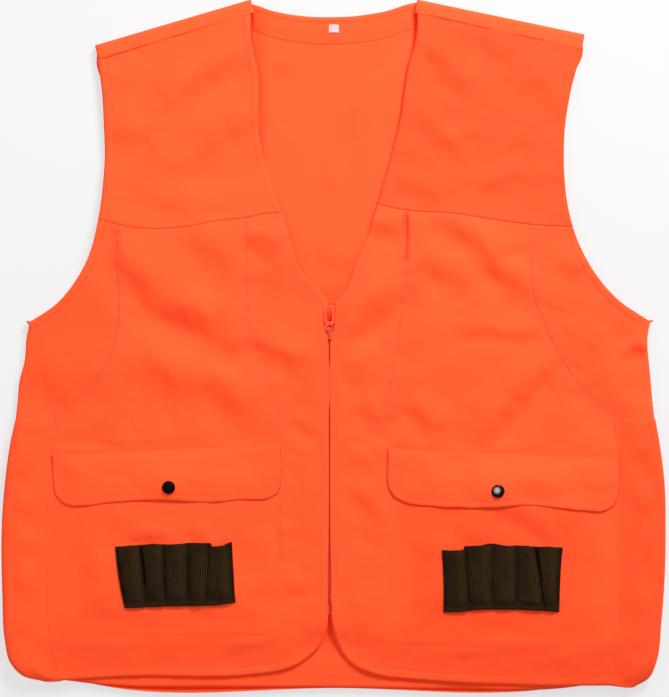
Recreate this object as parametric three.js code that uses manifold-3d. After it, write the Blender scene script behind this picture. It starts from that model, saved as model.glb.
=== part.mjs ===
// A hunting vest with a zip front, two flapped shell pockets and a game bag, laid on its back.
// +X is the wearer's left, +Y runs to the neck and +Z up from the table to the vest's front.
// Millimetres. The origin is on the table, under the middle of the vest. "side" is +1 for the
// wearer's left half and -1 for the right half. Cloth is modelled as level sheets with air between.
import * as THREE from "three";
import { mergeVertices } from "three/addons/utils/BufferGeometryUtils.js";
import Module from "manifold-3d";

const wasm = await Module();
wasm.setup();

// Overall sizes
const vestHalfWidth = 349;
const neckTopY = 361;
const hemY = -361;
const hemFlatX = 240; // outside this the hem rises to the sides
const neckHalfWidth = 88;
const backNeckDrop = 17;
const shoulderTipX = 256;
const shoulderTipY = neckTopY - 43;
const underarmX = vestHalfWidth * 0.9484;
const underarmY = 21;
const frontHemRise = 8;
const zipX = -6; // the front opening lies a little to the wearer's right

// Cloth and the air between its layers
const cloth = 1.0;
const facingCloth = 0.8;
const seamGap = 0.4; // between two sheets that are sewn edge to edge
const layerGap = 0.3; // between two sheets that lie on each other
const bagDepth = 5.4; // free height inside the game bag
const bodyDepth = 7; // free height between the back and the front facing, over the game bag

// Levels. The upper back lies on the table, and the lower back lies over the game bag.
const bagLift = cloth + bagDepth;
const backLow = 0;
const backTop = backLow + cloth;
const facingLow = bagLift + backTop + bodyDepth;
const zipMiddle = facingLow + 1.6;
const sliderHalfHeight = 1.9;
const frontLow = zipMiddle + sliderHalfHeight + layerGap;
const frontTop = frontLow + cloth;

// The game bag's top edge, and where the back panel comes down from over the bag to the table
const bagTopY = underarmY + 0.262 * (hemY - underarmY);
const bendBottomY = bagTopY + 13;
const bendTopY = bagTopY + 49;

// Shoulder
const shoulderSeamDrop = 16; // the front shoulder seam lies this far below the fold
const backYokeY = 44;

// V neck: shares of the neck's half width at shares of the way up from its point
const neckPointY = 46;
const vShares = [
  [0, 0.07], [0.016, 0.14], [0.083, 0.295], [0.162, 0.432], [0.238, 0.511],
  [0.394, 0.693], [0.606, 0.852], [0.819, 0.96], [1, 1],
];
const vHeights = vShares.map(([up]) => neckPointY + up * (neckTopY - neckPointY));
const vHalfWidths = vShares.map(([, out]) => out * neckHalfWidth);

// Front opening
const edgeGap = 1.5; // half the gap between the two front edges
const frontCornerWidth = 85;
const frontCornerHeight = 82;
const foldHemOffset = 22; // where the fold of the front edge meets the hem, from the zip

// Pockets and flaps
const pocketX = 176;
const pocketWidth = 241;
const pocketTopY = -118;
const pocketBottomY = -311;
const pocketCorner = 22;
const pocketDepth = 5.6;
const gussetWall = 1.2;
const flapRootY = -107;
const flapHeight = 59;
const flapCorner = 20;
const flapRun = 15; // the flap climbs to its full height over this distance

// Snaps
const snapPlaces = { left: [169.5, -150.5], right: [173, -146.5] }; // out from the middle, and Y
const capRadius = 7;
const capHeight = 2.6;
const socketRadius = 6;
const studFlangeRadius = 5.2;
const studRadius = 2.2;
const studHeight = 2.1;
const snapFlange = 0.8;
const snapClearance = 0.3;
const socketHeight = 2.6;
const shankRadius = 1.4;
const shankHoleRadius = 1.8;

// Shell loops
const loopPlaces = { left: [173, -244.5], right: [166, -239.5] }; // out from the middle, and Y
const loopCount = 5;
const loopPitch = 24.2;
const loopLength = 65;
const loopInside = 5.6; // free height in an empty loop
const loopSlope = 3; // run of each slanting side
const loopSeam = 2; // flat stretch sewn down between loops

// Zip
const zipTopY = 7.6;
const zipBottomY = -269;
const toothPitch = 3;
const toothLength = 1.2;
const toothReach = 0.9; // past the middle of the zip
const toothRoot = 2.2;
const toothThickness = 1.6;
const tapeWidth = 13;
const tapeThickness = 0.6;
const sliderLength = 13;
const sliderHalfWidth = 4.5;
const sliderPlate = 0.8;
const sliderFlange = 0.8;
const tapeSlotHalf = 0.6;
const pullLength = 26;
const pullWidth = 10.5;
const pullThickness = 1.2;
const bailRise = 3.4;

const far = 650; // beyond every outline

const mirrored = (side, points) => points.map(([x, y]) => [side * x, y]);

// --- Materials ---------------------------------------------------------------------------------
const matte = (color, roughness = 0.85, metalness = 0) =>
  new THREE.MeshStandardMaterial({ color, roughness, metalness });
const shellCloth = matte(0xfa6034);
const yokeCloth = matte(0xf86638);
const facingMaterial = matte(0xf05a2c);
const elastic = matte(0x2c2418, 0.9);
const zipPlastic = matte(0xe8501e, 0.5);
const zipPaint = matte(0xf0562a, 0.35, 0.4);
const capPaint = matte(0x0a0806, 0.15, 0.3);
const snapMetal = matte(0x9a968e, 0.3, 1);
const labelSatin = matte(0xe6d2d6, 0.6);

// --- Solids from three.js geometry ---------------------------------------------------------------
function solid(geometry) {
  const bare = geometry.index ? geometry.toNonIndexed() : geometry.clone();
  bare.deleteAttribute("normal");
  bare.deleteAttribute("uv");
  const merged = mergeVertices(bare, 1e-4);
  const mesh = new wasm.Mesh({
    numProp: 3,
    vertProperties: merged.attributes.position.array,
    triVerts: new Uint32Array(merged.index.array),
  });
  return new wasm.Manifold(mesh);
}

function geometryOf(manifold) {
  const mesh = manifold.getMesh();
  const geometry = new THREE.BufferGeometry();
  geometry.setAttribute("position", new THREE.BufferAttribute(mesh.vertProperties, 3));
  geometry.setIndex(new THREE.BufferAttribute(mesh.triVerts, 1));
  geometry.computeVertexNormals();
  return geometry;
}

const vest = new THREE.Group();

function addNode(name, manifold, material) {
  const mesh = new THREE.Mesh(geometryOf(manifold), material);
  mesh.name = name;
  vest.add(mesh);
  return mesh;
}

const shapeOf = (points) => new THREE.Shape(points.map(([x, y]) => new THREE.Vector2(x, y)));

// A smooth line through a few points.
function curve(points, steps) {
  const spline = new THREE.SplineCurve(points.map(([x, y]) => new THREE.Vector2(x, y)));
  return spline.getPoints(steps).map((p) => [p.x, p.y]);
}

// A quarter of an ellipse from angle a to angle b, in degrees.
function arc(cx, cy, rx, ry, a, b, steps) {
  return Array.from({ length: steps + 1 }, (_, i) => {
    const t = THREE.MathUtils.degToRad(a + ((b - a) * i) / steps);
    return [cx + rx * Math.cos(t), cy + ry * Math.sin(t)];
  });
}

// An upright prism over an outline, between two heights.
function prism(points, low = -20, high = 80) {
  const geometry = new THREE.ExtrudeGeometry(shapeOf(points), {
    depth: high - low,
    bevelEnabled: false,
  });
  geometry.translate(0, 0, low);
  return solid(geometry);
}

// How far the back is lifted over the game bag at a place down the vest.
function lift(y) {
  const t = THREE.MathUtils.smoothstep(-y, -bendTopY, -bendBottomY);
  return bagLift * t;
}

const bendYs = Array.from({ length: 7 }, (_, i) => bendTopY + ((bendBottomY - bendTopY) * i) / 6);

// A profile drawn as [y, z] pairs and run across the whole vest.
function across(profile, width = 2 * far, middle = 0) {
  const geometry = new THREE.ExtrudeGeometry(shapeOf(profile), { depth: width, bevelEnabled: false });
  geometry.translate(0, 0, -width / 2);
  // The profile's own x and y become the vest's Y and Z, and its depth becomes X.
  geometry.applyMatrix4(
    new THREE.Matrix4().set(0, 0, 1, middle, 1, 0, 0, 0, 0, 1, 0, 0, 0, 0, 0, 1),
  );
  return solid(geometry);
}

// The back's cloth runs the whole length of the vest and climbs over the game bag.
const backYs = [far, ...bendYs, -far];
const backLayer = across([
  ...backYs.map((y) => [y, backLow + lift(y)]),
  ...backYs.map((y) => [y, backTop + lift(y)]).reverse(),
]);

// --- Outlines ----------------------------------------------------------------------------------
function interpolate(x, xs, ys) {
  const i = 1 + xs.slice(1, -1).filter((v) => v <= x).length;
  const t = (x - xs[i - 1]) / (xs[i] - xs[i - 1]);
  return ys[i - 1] + t * (ys[i] - ys[i - 1]);
}

// The side of the vest: shares of the way down from underarm to hem, with shares of the vest's half
// width for the game bag outside and for the body inside it.
const sideShares = [
  [0.976, 0.928, 0.918], [0.932, 0.968, 0.958], [0.869, 0.986, 0.976], [0.788, 0.994, 0.984],
  [0.649, 0.999, 0.989], [0.539, 1, 0.99], [0.429, 0.996, 0.986], [0.319, 0.98, 0.97],
  [0.262, 0.967, 0.957], [0.16, 0.954, 0.954], [0.07, 0.934, 0.934], [0, 0.9484, 0.9484],
];
const sideYs = sideShares.map(([down]) => underarmY + down * (hemY - underarmY));
const bagXs = sideShares.map(([, out]) => out * vestHalfWidth);
const bodyXs = sideShares.map(([, , out]) => out * vestHalfWidth);
const bodySide = (y) => interpolate(y, sideYs, bodyXs);
const bagSide = (y) => interpolate(y, sideYs, bagXs);

// The armhole: shares of the way from shoulder tip to underarm across, and from underarm to tip up.
const armShares = [
  [1, 0], [0.493, 0.084], [0.08, 0.226], [-0.107, 0.367], [-0.18, 0.508],
  [-0.18, 0.65], [-0.12, 0.811], [-0.04, 0.933], [0, 1],
];
const armhole = curve(
  armShares.map(([out, up]) => [
    shoulderTipX + out * (underarmX - shoulderTipX),
    underarmY + up * (shoulderTipY - underarmY),
  ]),
  28,
);

const shoulderRun = new THREE.Vector2(shoulderTipX - neckHalfWidth, shoulderTipY - neckTopY);
const shoulderLength = shoulderRun.length();
const shoulderAngle = shoulderRun.angle();
const shoulderOut = [-Math.sin(shoulderAngle), Math.cos(shoulderAngle)];

// A point on the shoulder line, moved down the vest by a distance at right angles to it.
function onShoulder(x, drop) {
  const t = (x - neckHalfWidth) / shoulderRun.x;
  const y = neckTopY + t * shoulderRun.y;
  return [x - shoulderOut[0] * drop, y - shoulderOut[1] * drop];
}

// The V edge at a height: it closes on the zip, which is off the middle.
function vEdge(side, y) {
  const toNeck = (y - neckPointY) / (neckTopY - neckPointY);
  return side * interpolate(y, vHeights, vHalfWidths) + zipX * (1 - toNeck);
}

// The fold line that a front edge turns back on, from the neck point of the shoulder to the hem.
const foldTop = (side) => [side * neckHalfWidth, neckTopY];
const foldBottom = (side) => [zipX + side * foldHemOffset, hemY];
function foldX(side, y) {
  const [topX, topY] = foldTop(side);
  const [bottomX, bottomY] = foldBottom(side);
  return bottomX + ((topX - bottomX) * (y - bottomY)) / (topY - bottomY);
}

const frontHem = hemY + frontHemRise;

// One whole front, from its centre edge to where the side folds round.
function frontOutline(side) {
  const edge = zipX + side * edgeGap;
  const flare = zipX + side * (edgeGap + 3.5);
  const corner = arc(
    edge + side * frontCornerWidth, frontHem + frontCornerHeight,
    -side * frontCornerWidth, frontCornerHeight, -90, 0, 8,
  );
  const neck = vHeights.slice(0, -1).map((y) => [vEdge(side, y), y]);
  const neckEnd = onShoulder(neckHalfWidth, shoulderSeamDrop + seamGap);
  const armEnd = onShoulder(shoulderTipX, shoulderSeamDrop + seamGap);
  const arm = armhole.filter(([, y]) => y < armEnd[1] - 4).reverse();
  const sides = sideYs.slice().reverse().slice(1).map((y) => [bodySide(y) - 6, y]);
  return [
    ...corner,
    [edge, zipTopY],
    [flare, zipTopY + sliderLength],
    ...neck,
    [side * (neckHalfWidth - 0.5), neckEnd[1] - 1],
    [side * armEnd[0], armEnd[1]],
    ...mirrored(side, arm),
    ...mirrored(side, sides),
  ];
}

// The yoke seam across the chest, from the V to the armhole.
const yokeSeam = [[-40, 147], [50, 143], [136, 135], [175, 129], [235, 124], [far, 122]];
const shifted = (points, dy) => points.map(([x, y]) => [x, y + dy]);

// The seam where the side panel joins the front panel.
const sideSeam = curve([[205, 160], [205, 122], [210, 44], [235, -13], [vestHalfWidth - 65, -70],
  [vestHalfWidth - 46, -100]], 16);
const sideInset = 31; // from the side's outer edge to where its cloth ends, front and back

function aboveYokeSeam(side, clear) {
  return prism(mirrored(side, [...shifted(yokeSeam, clear), [far, far], [-40, far]]));
}
function belowYokeSeam(side, clear) {
  return prism(mirrored(side, [...shifted(yokeSeam, -clear), [far, -far], [-40, -far]]));
}
function outsideFold(side, clear) {
  const line = [far, -far].map((y) => [foldX(side, y) + side * clear, y]);
  return prism([...line, [side * far, -far], [side * far, far]]);
}
function insideFold(side, clear) {
  const line = [far, -far].map((y) => [foldX(side, y) - side * clear, y]);
  return prism([...line, [zipX - side * 70, -far], [zipX - side * 70, far]]);
}
// The seam steps out to the side's fold at its lower end, and then runs down beside the fold.
function seamLine(clear) {
  const [, endY] = sideSeam[sideSeam.length - 1];
  const ys = [endY - 0.5, ...sideYs.filter((y) => y < endY - 1).reverse()];
  const low = ys.map((y) => [bodySide(y) - sideInset - seamGap, y]);
  return [...sideSeam, ...low].map(([x, y]) => [x + clear, y]);
}
function sideOfSeam(side, clear) {
  return prism(mirrored(side, [...seamLine(clear), [285 + clear, -far], [far, -far], [far, 160]]));
}
function frontOfSeam(side, clear) {
  return prism(mirrored(side, [...seamLine(-clear), [285 - clear, -far], [-60, -far], [-60, 160]]));
}

// Everything in front of the side's fold; above the underarm the cloth runs out to the armhole.
function inFrontOfFold(side) {
  const foldEdge = sideYs.map((y) => [bodySide(y) - sideInset - seamGap, y]).reverse();
  const top = underarmY + seamGap;
  return prism(mirrored(side, [
    [-60, far], [far, far], [far, top], [foldEdge[0][0], top], ...foldEdge.slice(1),
    [foldEdge[foldEdge.length - 1][0], -far], [-60, -far],
  ]));
}

// --- Cloth that folds round an edge --------------------------------------------------------------
// A C-shaped strip that runs down the side: at each station its fold reaches out to x, and its two
// flanges run back in to x less "inset". levels gives the strip's underside and top at a station.
function sideFold(side, stations, inset, reach, levels) {
  const bendSteps = 6;
  const bendReach = 6; // how far the rounded edge reaches out past the flat flanges
  const rings = stations.map((y) => {
    const [low, high] = levels(y);
    const radius = (high - low) / 2;
    const middle = (high + low) / 2;
    const x = reach(y);
    const ring = (inner) => [
      [x - inset, middle + radius - inner],
      ...arc(x - bendReach, middle, bendReach - inner, radius - inner, 90, -90, bendSteps),
      [x - inset, middle - radius + inner],
    ];
    return [...ring(0), ...ring(cloth).reverse()].map(([px, pz]) => [side * px, y, pz]);
  });
  return loft(rings);
}

// A closed body through rings of the same number of points, with flat ends.
function loft(rings) {
  const n = rings[0].length;
  const positions = rings.flat(2);
  const index = [];
  for (let r = 0; r < rings.length - 1; r += 1) {
    for (let i = 0; i < n; i += 1) {
      const a = r * n + i;
      const b = r * n + ((i + 1) % n);
      index.push(a, b, b + n, a, b + n, a + n);
    }
  }
  const half = n / 2; // each ring is an outer and an inner run, so its end is a strip of quads
  for (const start of [0, (rings.length - 1) * n]) {
    for (let i = 0; i < half - 1; i += 1) {
      const [a, b, c, d] = [start + i, start + i + 1, start + n - 2 - i, start + n - 1 - i];
      if (start === 0) index.push(a, c, b, a, d, c);
      else index.push(a, b, c, a, c, d);
    }
  }
  const geometry = new THREE.BufferGeometry();
  geometry.setAttribute("position", new THREE.Float32BufferAttribute(positions, 3));
  geometry.setIndex(index);
  const made = solid(geometry);
  if (made.volume() > 0) return made;
  const turned = index.slice();
  for (let i = 0; i < turned.length; i += 3) [turned[i + 1], turned[i + 2]] = [turned[i + 2], turned[i + 1]];
  geometry.setIndex(turned);
  return solid(geometry);
}

// The shoulder: the back yoke's cloth turns over the shoulder line and comes down the front.
function shoulderFold(side) {
  const radius = (frontTop - backLow) / 2;
  const middle = (frontTop + backLow) / 2;
  const run = (r) => [
    [-shoulderSeamDrop, r],
    ...arc(-radius, 0, r, r, 90, -90, 8),
    [-shoulderSeamDrop - 4, -r],
  ];
  const profile = [...run(radius), ...run(radius - cloth).reverse()];
  const geometry = new THREE.ExtrudeGeometry(shapeOf(profile), {
    depth: shoulderLength,
    bevelEnabled: false,
  });
  // Across the fold is the profile's x, up is its y, and it is drawn along the shoulder line.
  const along = new THREE.Vector3(Math.cos(shoulderAngle), Math.sin(shoulderAngle), 0);
  const out = new THREE.Vector3(shoulderOut[0], shoulderOut[1], 0);
  const place = new THREE.Matrix4().makeBasis(out, new THREE.Vector3(0, 0, 1), along);
  place.setPosition(neckHalfWidth, neckTopY, middle);
  geometry.applyMatrix4(place);
  const made = solid(geometry);
  return side > 0 ? made : made.mirror([1, 0, 0]);
}

// --- Back ----------------------------------------------------------------------------------------
const backNeck = curve(
  [[-neckHalfWidth, neckTopY - 6], [-45, neckTopY - 14], [0, neckTopY - backNeckDrop],
    [45, neckTopY - 14], [neckHalfWidth, neckTopY - 6]],
  12,
);

function backOutline() {
  const half = [
    [neckHalfWidth, neckTopY - 6],
    onShoulder(neckHalfWidth + 1, 8),
    onShoulder(shoulderTipX - 1, 8),
    ...armhole.slice().reverse().filter(([, y]) => y < shoulderTipY - 14),
  ];
  const seam = sideYs.slice().reverse().slice(1).map((y) => [bodySide(y) - sideInset - seamGap, y]);
  half.push([underarmX - sideInset, underarmY + 6], ...seam, [hemFlatX, hemY + 2]);
  const other = mirrored(-1, half).reverse();
  return [...half, ...other, ...backNeck.slice(1, -1)];
}

const backWhole = prism(backOutline()).intersect(backLayer);
const belowBackYoke = prism([[-400, backYokeY - seamGap], [400, backYokeY - seamGap], [400, -420], [-400, -420]]);
addNode("back_panel", backWhole.intersect(belowBackYoke), shellCloth);

const aboveBackYoke = prism([[-400, backYokeY], [400, backYokeY], [400, 420], [-400, 420]]);
const yokeSheet = backWhole.intersect(aboveBackYoke);
addNode("back_yoke", yokeSheet.add(shoulderFold(1)).add(shoulderFold(-1)), yokeCloth);

const neckBand = [...backNeck.map(([x, y]) => [x * 0.97, y - 1]), ...shifted(backNeck, -28).reverse()];
const neckFacingLow = backTop + layerGap;
addNode("neck_facing", prism(neckBand, neckFacingLow, neckFacingLow + facingCloth), facingMaterial);

const labelLow = backTop + facingCloth + 2 * layerGap;
const labelOutline = [[-7, 326.5], [3, 326.5], [3, 335.5], [-7, 335.5]];
addNode("size_label", prism(labelOutline, labelLow, labelLow + 0.5), labelSatin);

// --- Game bag: a flat back and two sides that wrap round to the front ----------------------------
const bagSeamIn = 44; // from the bag's outer edge to the seam where its side begins
const bagStations = sideYs.filter((y) => y < bagTopY + 1);
const bagHalf = bagStations.map((y) => [bagSide(y) - bagSeamIn - seamGap, y]);
const bagRight = [[hemFlatX, hemY], [bagHalf[0][0], bagHalf[0][1] - 1.6], ...bagHalf];
const bagBack = prism([...bagRight, ...mirrored(-1, bagRight).reverse()], 0, cloth);
// Its lower edge turns up to the back's hem and closes the bag.
const baseEnd = [vestHalfWidth - 49, sideYs[0] - 2.1];
const baseOuter = [...mirrored(-1, [baseEnd, [hemFlatX, hemY]]), [hemFlatX, hemY], baseEnd];
const baseWall = [...baseOuter, ...shifted(baseOuter, 1.2).reverse()];
addNode("game_bag_back", bagBack.add(prism(baseWall, 0, bagLift - layerGap)), shellCloth);

const bagFoldTop = frontTop + layerGap + cloth;
for (const [side, name] of [[1, "left"], [-1, "right"]]) {
  const wrap = sideFold(side, bagStations, bagSeamIn, bagSide, () => [0, bagFoldTop]);
  addNode("game_bag_side_" + name, wrap, shellCloth);
}

// --- Fronts --------------------------------------------------------------------------------------
for (const [side, name] of [[1, "left"], [-1, "right"]]) {
  const half = prism(frontOutline(side), frontLow, frontTop);
  const clear = seamGap / 2;
  const outer = half.intersect(outsideFold(side, clear));
  addNode("front_edge_" + name, half.intersect(insideFold(side, clear)), shellCloth);
  addNode("front_yoke_" + name, outer.intersect(aboveYokeSeam(side, clear)), yokeCloth);
  const lower = outer.intersect(belowYokeSeam(side, clear));
  addNode("front_panel_" + name, lower.intersect(frontOfSeam(side, clear)), shellCloth);

  // The side panel: its front part, and the folds that take it round to the back, above the game
  // bag's top and beside the bag.
  const front = lower.intersect(sideOfSeam(side, clear)).intersect(inFrontOfFold(side));
  addNode("side_panel_" + name, front, shellCloth);
  const foldLevels = (y) => [backLow + lift(y), frontTop];
  const upper = [bagTopY + clear, ...bendYs.slice().reverse(), ...sideYs.slice(-2)];
  const upperFold = sideFold(side, upper, sideInset, bodySide, foldLevels);
  addNode("underarm_fold_" + name, upperFold, shellCloth);
  const beside = [...bagStations.slice(0, -1), bagTopY - clear];
  addNode("side_fold_" + name, sideFold(side, beside, sideInset, bodySide, foldLevels), shellCloth);
}

// --- Facings and armhole bindings ----------------------------------------------------------------
const facingOuter = curve([[100, 345], [96, 200], [84, 139], [78, 14], [64, -40], [52, -85]], 12);
for (const [side, name] of [[1, "left"], [-1, "right"]]) {
  const inner = vHeights.slice(2).reverse().map((y) => [vEdge(side, Math.min(y, 345)), Math.min(y, 345)]);
  const outline = [...mirrored(side, facingOuter), [foldX(side, -94), -94], [zipX + side * 10, -94], ...inner.reverse()];
  const whole = prism(outline, facingLow, facingLow + facingCloth);
  addNode("front_facing_" + name, whole.intersect(outsideFold(side, seamGap / 2)), facingMaterial);

  const edgeFacing = frontOutline(side).map(([x, y]) => [x + side * 5.5, y]);
  const lapel = prism(edgeFacing, facingLow, facingLow + facingCloth);
  addNode("edge_facing_" + name, lapel.intersect(insideFold(side, seamGap / 2)), facingMaterial);

  // A 9 mm binding inside each armhole, on the front and on the back.
  const rim = armhole.filter(([, y]) => y > 32 && y < 296);
  const bindingWidth = 9;
  const inset = rim.map(([x, y]) => [x - bindingWidth, y - 2]);
  const band = mirrored(side, [...rim.map(([x, y]) => [x - 0.5, y]), ...inset.reverse()]);
  const frontBinding = [frontLow - layerGap - facingCloth, frontLow - layerGap];
  addNode("armhole_binding_front_" + name, prism(band, ...frontBinding), facingMaterial);
  const backBinding = [backTop + layerGap, backTop + layerGap + facingCloth];
  addNode("armhole_binding_back_" + name, prism(band, ...backBinding), facingMaterial);
}

// --- Pockets -------------------------------------------------------------------------------------
// A pouch outline with rounded lower corners, open upwards.
function pouch(side, centreX, width, topY, bottomY, corner) {
  const [l, r] = [centreX - width / 2, centreX + width / 2];
  const low = bottomY + corner;
  return mirrored(side, [
    [l, topY],
    ...arc(l + corner, low, corner, corner, 180, 270, 5),
    ...arc(r - corner, low, corner, corner, 270, 360, 5),
    [r, topY],
  ]);
}

function cylinder(x, y, radius, low, high, segments = 24) {
  const geometry = new THREE.CylinderGeometry(radius, radius, high - low, segments);
  geometry.rotateX(Math.PI / 2);
  geometry.translate(x, y, (low + high) / 2);
  return solid(geometry);
}

// A turned piece: its profile is [radius, height] pairs, revolved about the snap's axis.
function turned(x, y, z, profile, segments = 28) {
  const geometry = new THREE.LatheGeometry(profile.map(([r, h]) => new THREE.Vector2(r, h)), segments);
  geometry.rotateX(Math.PI / 2);
  geometry.translate(x, y, z);
  return solid(geometry);
}

const gussetLow = frontTop + layerGap;
const gussetTop = gussetLow + pocketDepth;
const wallLow = gussetTop + layerGap;
const wallTop = wallLow + cloth;
const studLow = wallTop + layerGap;
const socketLow = studLow + snapFlange + snapClearance;
const flapLow = socketLow + socketHeight + layerGap;
const flapTop = flapLow + cloth;

for (const [side, name] of [[1, "left"], [-1, "right"]]) {
  const outer = pouch(side, pocketX, pocketWidth, pocketTopY, pocketBottomY, pocketCorner);
  const inner = pouch(side, pocketX, pocketWidth - 2 * gussetWall, pocketTopY + 5,
    pocketBottomY + gussetWall, pocketCorner - gussetWall);
  const gusset = prism(outer, gussetLow, gussetTop).subtract(prism(inner, gussetLow - 1, gussetTop + 1));
  addNode("pocket_gusset_" + name, gusset, shellCloth);
  const [snapX, snapY] = snapPlaces[name];
  const hole = cylinder(side * snapX, snapY, shankHoleRadius, 0, 60);
  addNode("pocket_front_" + name, prism(outer, wallLow, wallTop).subtract(hole), shellCloth);

  // The flap is sewn to the front panel at its root and climbs over the pocket's mouth.
  const flapProfile = [
    [flapRootY, gussetLow], [flapRootY - flapRun, flapLow], [flapRootY - flapHeight - 5, flapLow],
    [flapRootY - flapHeight - 5, flapTop], [flapRootY - flapRun, flapTop], [flapRootY, gussetLow + cloth + 0.4],
  ];
  const flapOutline = pouch(side, pocketX, pocketWidth - 8, flapRootY, flapRootY - flapHeight, flapCorner);
  addNode("pocket_flap_" + name, prism(flapOutline).intersect(across(flapProfile)).subtract(hole), shellCloth);

  // Snap: cap and socket on the flap, stud and post on the pocket.
  const x = side * snapX;
  const cap = [[0, 0], [capRadius - 0.6, 0], [capRadius, 0.6], [capRadius - 0.7, 1.5],
    [capRadius * 0.55, capHeight - 0.3], [0, capHeight]];
  const capShank = cylinder(x, snapY, shankRadius, flapLow - 0.1, flapTop + layerGap + 0.4);
  addNode("snap_cap_" + name, turned(x, snapY, flapTop + layerGap, cap).add(capShank), capPaint);
  const recess = studRadius + 0.5;
  const socket = [[recess, 0], [socketRadius, 0], [socketRadius, socketHeight - 0.6], [socketRadius - 0.6, socketHeight],
    [0, socketHeight], [0, studHeight], [recess, studHeight], [recess, 0]];
  addNode("snap_socket_" + name, turned(x, snapY, socketLow, socket), snapMetal);
  const stud = [[0, 0], [studFlangeRadius, 0], [studFlangeRadius, snapFlange], [studRadius - 0.3, snapFlange],
    [studRadius, snapFlange + 1.2], [studRadius - 0.5, snapFlange + studHeight - 0.3], [0, snapFlange + studHeight - 0.3]];
  addNode("snap_stud_" + name, turned(x, snapY, studLow, stud), snapMetal);
  const postShank = cylinder(x, snapY, shankRadius, wallLow - 0.6, wallTop + 0.1);
  const postDisc = cylinder(x, snapY, studFlangeRadius - 0.4, wallLow - layerGap - 0.6, wallLow - layerGap);
  addNode("snap_post_" + name, postDisc.add(postShank), snapMetal);

  // Shell loops: one elastic strip sewn down between the loops.
  const loopLow = wallTop + layerGap;
  const span = loopCount * loopPitch;
  const rise = loopInside - layerGap;
  const lower = [[-span / 2 - 2, 0]];
  for (let i = 0; i < loopCount; i += 1) {
    const start = -span / 2 + i * loopPitch + loopSeam / 2;
    const end = start + loopPitch - loopSeam;
    lower.push([start, 0], [start + loopSlope, rise], [end - loopSlope, rise], [end, 0]);
  }
  lower.push([span / 2 + 2, 0]);
  const strip = [...lower, ...lower.map(([px, pz]) => [px, pz + cloth]).reverse()];
  const geometry = new THREE.ExtrudeGeometry(shapeOf(strip), { depth: loopLength, bevelEnabled: false });
  geometry.rotateX(Math.PI / 2);
  const [loopsX, loopsY] = loopPlaces[name];
  geometry.translate(side * loopsX, loopsY + loopLength / 2, loopLow);
  addNode("shell_loops_" + name, solid(geometry), elastic);
}

// --- Zip -----------------------------------------------------------------------------------------
for (const [side, name] of [[1, "left"], [-1, "right"]]) {
  const at = (dx, y) => [zipX + side * dx, y];
  const stopY = zipTopY + sliderLength + 1;
  // The tape steps out beside the slider's place, so that the slider stays clear of it.
  const tape = [
    at(toothRoot, zipBottomY - 4), at(toothRoot + tapeWidth, zipBottomY - 4),
    at(toothRoot + tapeWidth + 6, neckPointY - 2), at(12, neckPointY - 2), at(6.5, stopY),
    at(sliderHalfWidth + 0.5, stopY), at(sliderHalfWidth + 0.5, zipTopY), at(toothRoot, zipTopY),
  ];
  const tapeLow = zipMiddle - tapeThickness / 2;
  addNode("zip_tape_" + name, prism(tape, tapeLow, tapeLow + tapeThickness), facingMaterial);

  // A row of moulded teeth on a rib, each row's heads between the other's.
  const offset = side > 0 ? 0 : toothPitch / 2;
  const comb = [at(toothRoot - seamGap / 2, zipBottomY), at(toothRoot - 1, zipBottomY)];
  const count = Math.floor((zipTopY - zipBottomY - 1) / toothPitch) - 1;
  for (let i = 0; i < count; i += 1) {
    const y = zipBottomY + 1 + offset + i * toothPitch;
    comb.push(at(toothRoot - 1, y), at(-toothReach, y), at(-toothReach, y + toothLength), at(toothRoot - 1, y + toothLength));
  }
  comb.push(at(toothRoot - 1, zipTopY), at(toothRoot - seamGap / 2, zipTopY));
  const low = zipMiddle - toothThickness / 2;
  addNode("zip_teeth_" + name, prism(comb, low, low + toothThickness), zipPlastic);

  const stop = [at(2.4, stopY + 1), at(4.6, stopY + 1), at(5.4, stopY + 4), at(3.2, stopY + 4)];
  addNode("zip_top_stop_" + name, prism(stop, low, low + toothThickness), zipPlastic);
}

// The slider: two plates joined by a post at their upper end, with lips that leave a slot for the tapes.
const sliderLow = zipTopY + 0.4;
const sliderTop = sliderLow + sliderLength - 0.4;
const sliderPlan = (halfWidth, low, high) => [
  [zipX - halfWidth * 0.72, low], [zipX + halfWidth * 0.72, low], [zipX + halfWidth, low + 5],
  [zipX + halfWidth, high - 3], [zipX + halfWidth * 0.6, high], [zipX - halfWidth * 0.6, high],
  [zipX - halfWidth, high - 3], [zipX - halfWidth, low + 5],
];
const channelPlan = [
  [zipX - 2.6, sliderLow - 1], [zipX + 2.6, sliderLow - 1], [zipX + sliderHalfWidth - sliderFlange, sliderLow + 6],
  [zipX + sliderHalfWidth - sliderFlange, sliderTop + 1], [zipX - sliderHalfWidth + sliderFlange, sliderTop + 1],
  [zipX - sliderHalfWidth + sliderFlange, sliderLow + 6],
];
const plan = sliderPlan(sliderHalfWidth, sliderLow, sliderTop);
const body = prism(plan, zipMiddle - sliderHalfHeight, zipMiddle + sliderHalfHeight)
  .subtract(prism(channelPlan, zipMiddle - sliderHalfHeight + sliderPlate, zipMiddle + sliderHalfHeight - sliderPlate))
  .subtract(prism([[zipX - 9, 0], [zipX + 9, 0], [zipX + 9, 30], [zipX - 9, 30]], zipMiddle - tapeSlotHalf, zipMiddle + tapeSlotHalf));
const post = prism(
  [[zipX, sliderTop - 6], [zipX + 0.9, sliderTop - 3], [zipX + 0.7, sliderTop - 0.5], [zipX - 0.7, sliderTop - 0.5], [zipX - 0.9, sliderTop - 3]],
  zipMiddle - sliderHalfHeight + 0.2, zipMiddle + sliderHalfHeight - 0.2,
);
const plateTop = zipMiddle + sliderHalfHeight;
const crownWidth = 2;
const pinY = sliderTop - 2.6;
const pinZ = plateTop + bailRise - 1.1;
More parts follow.
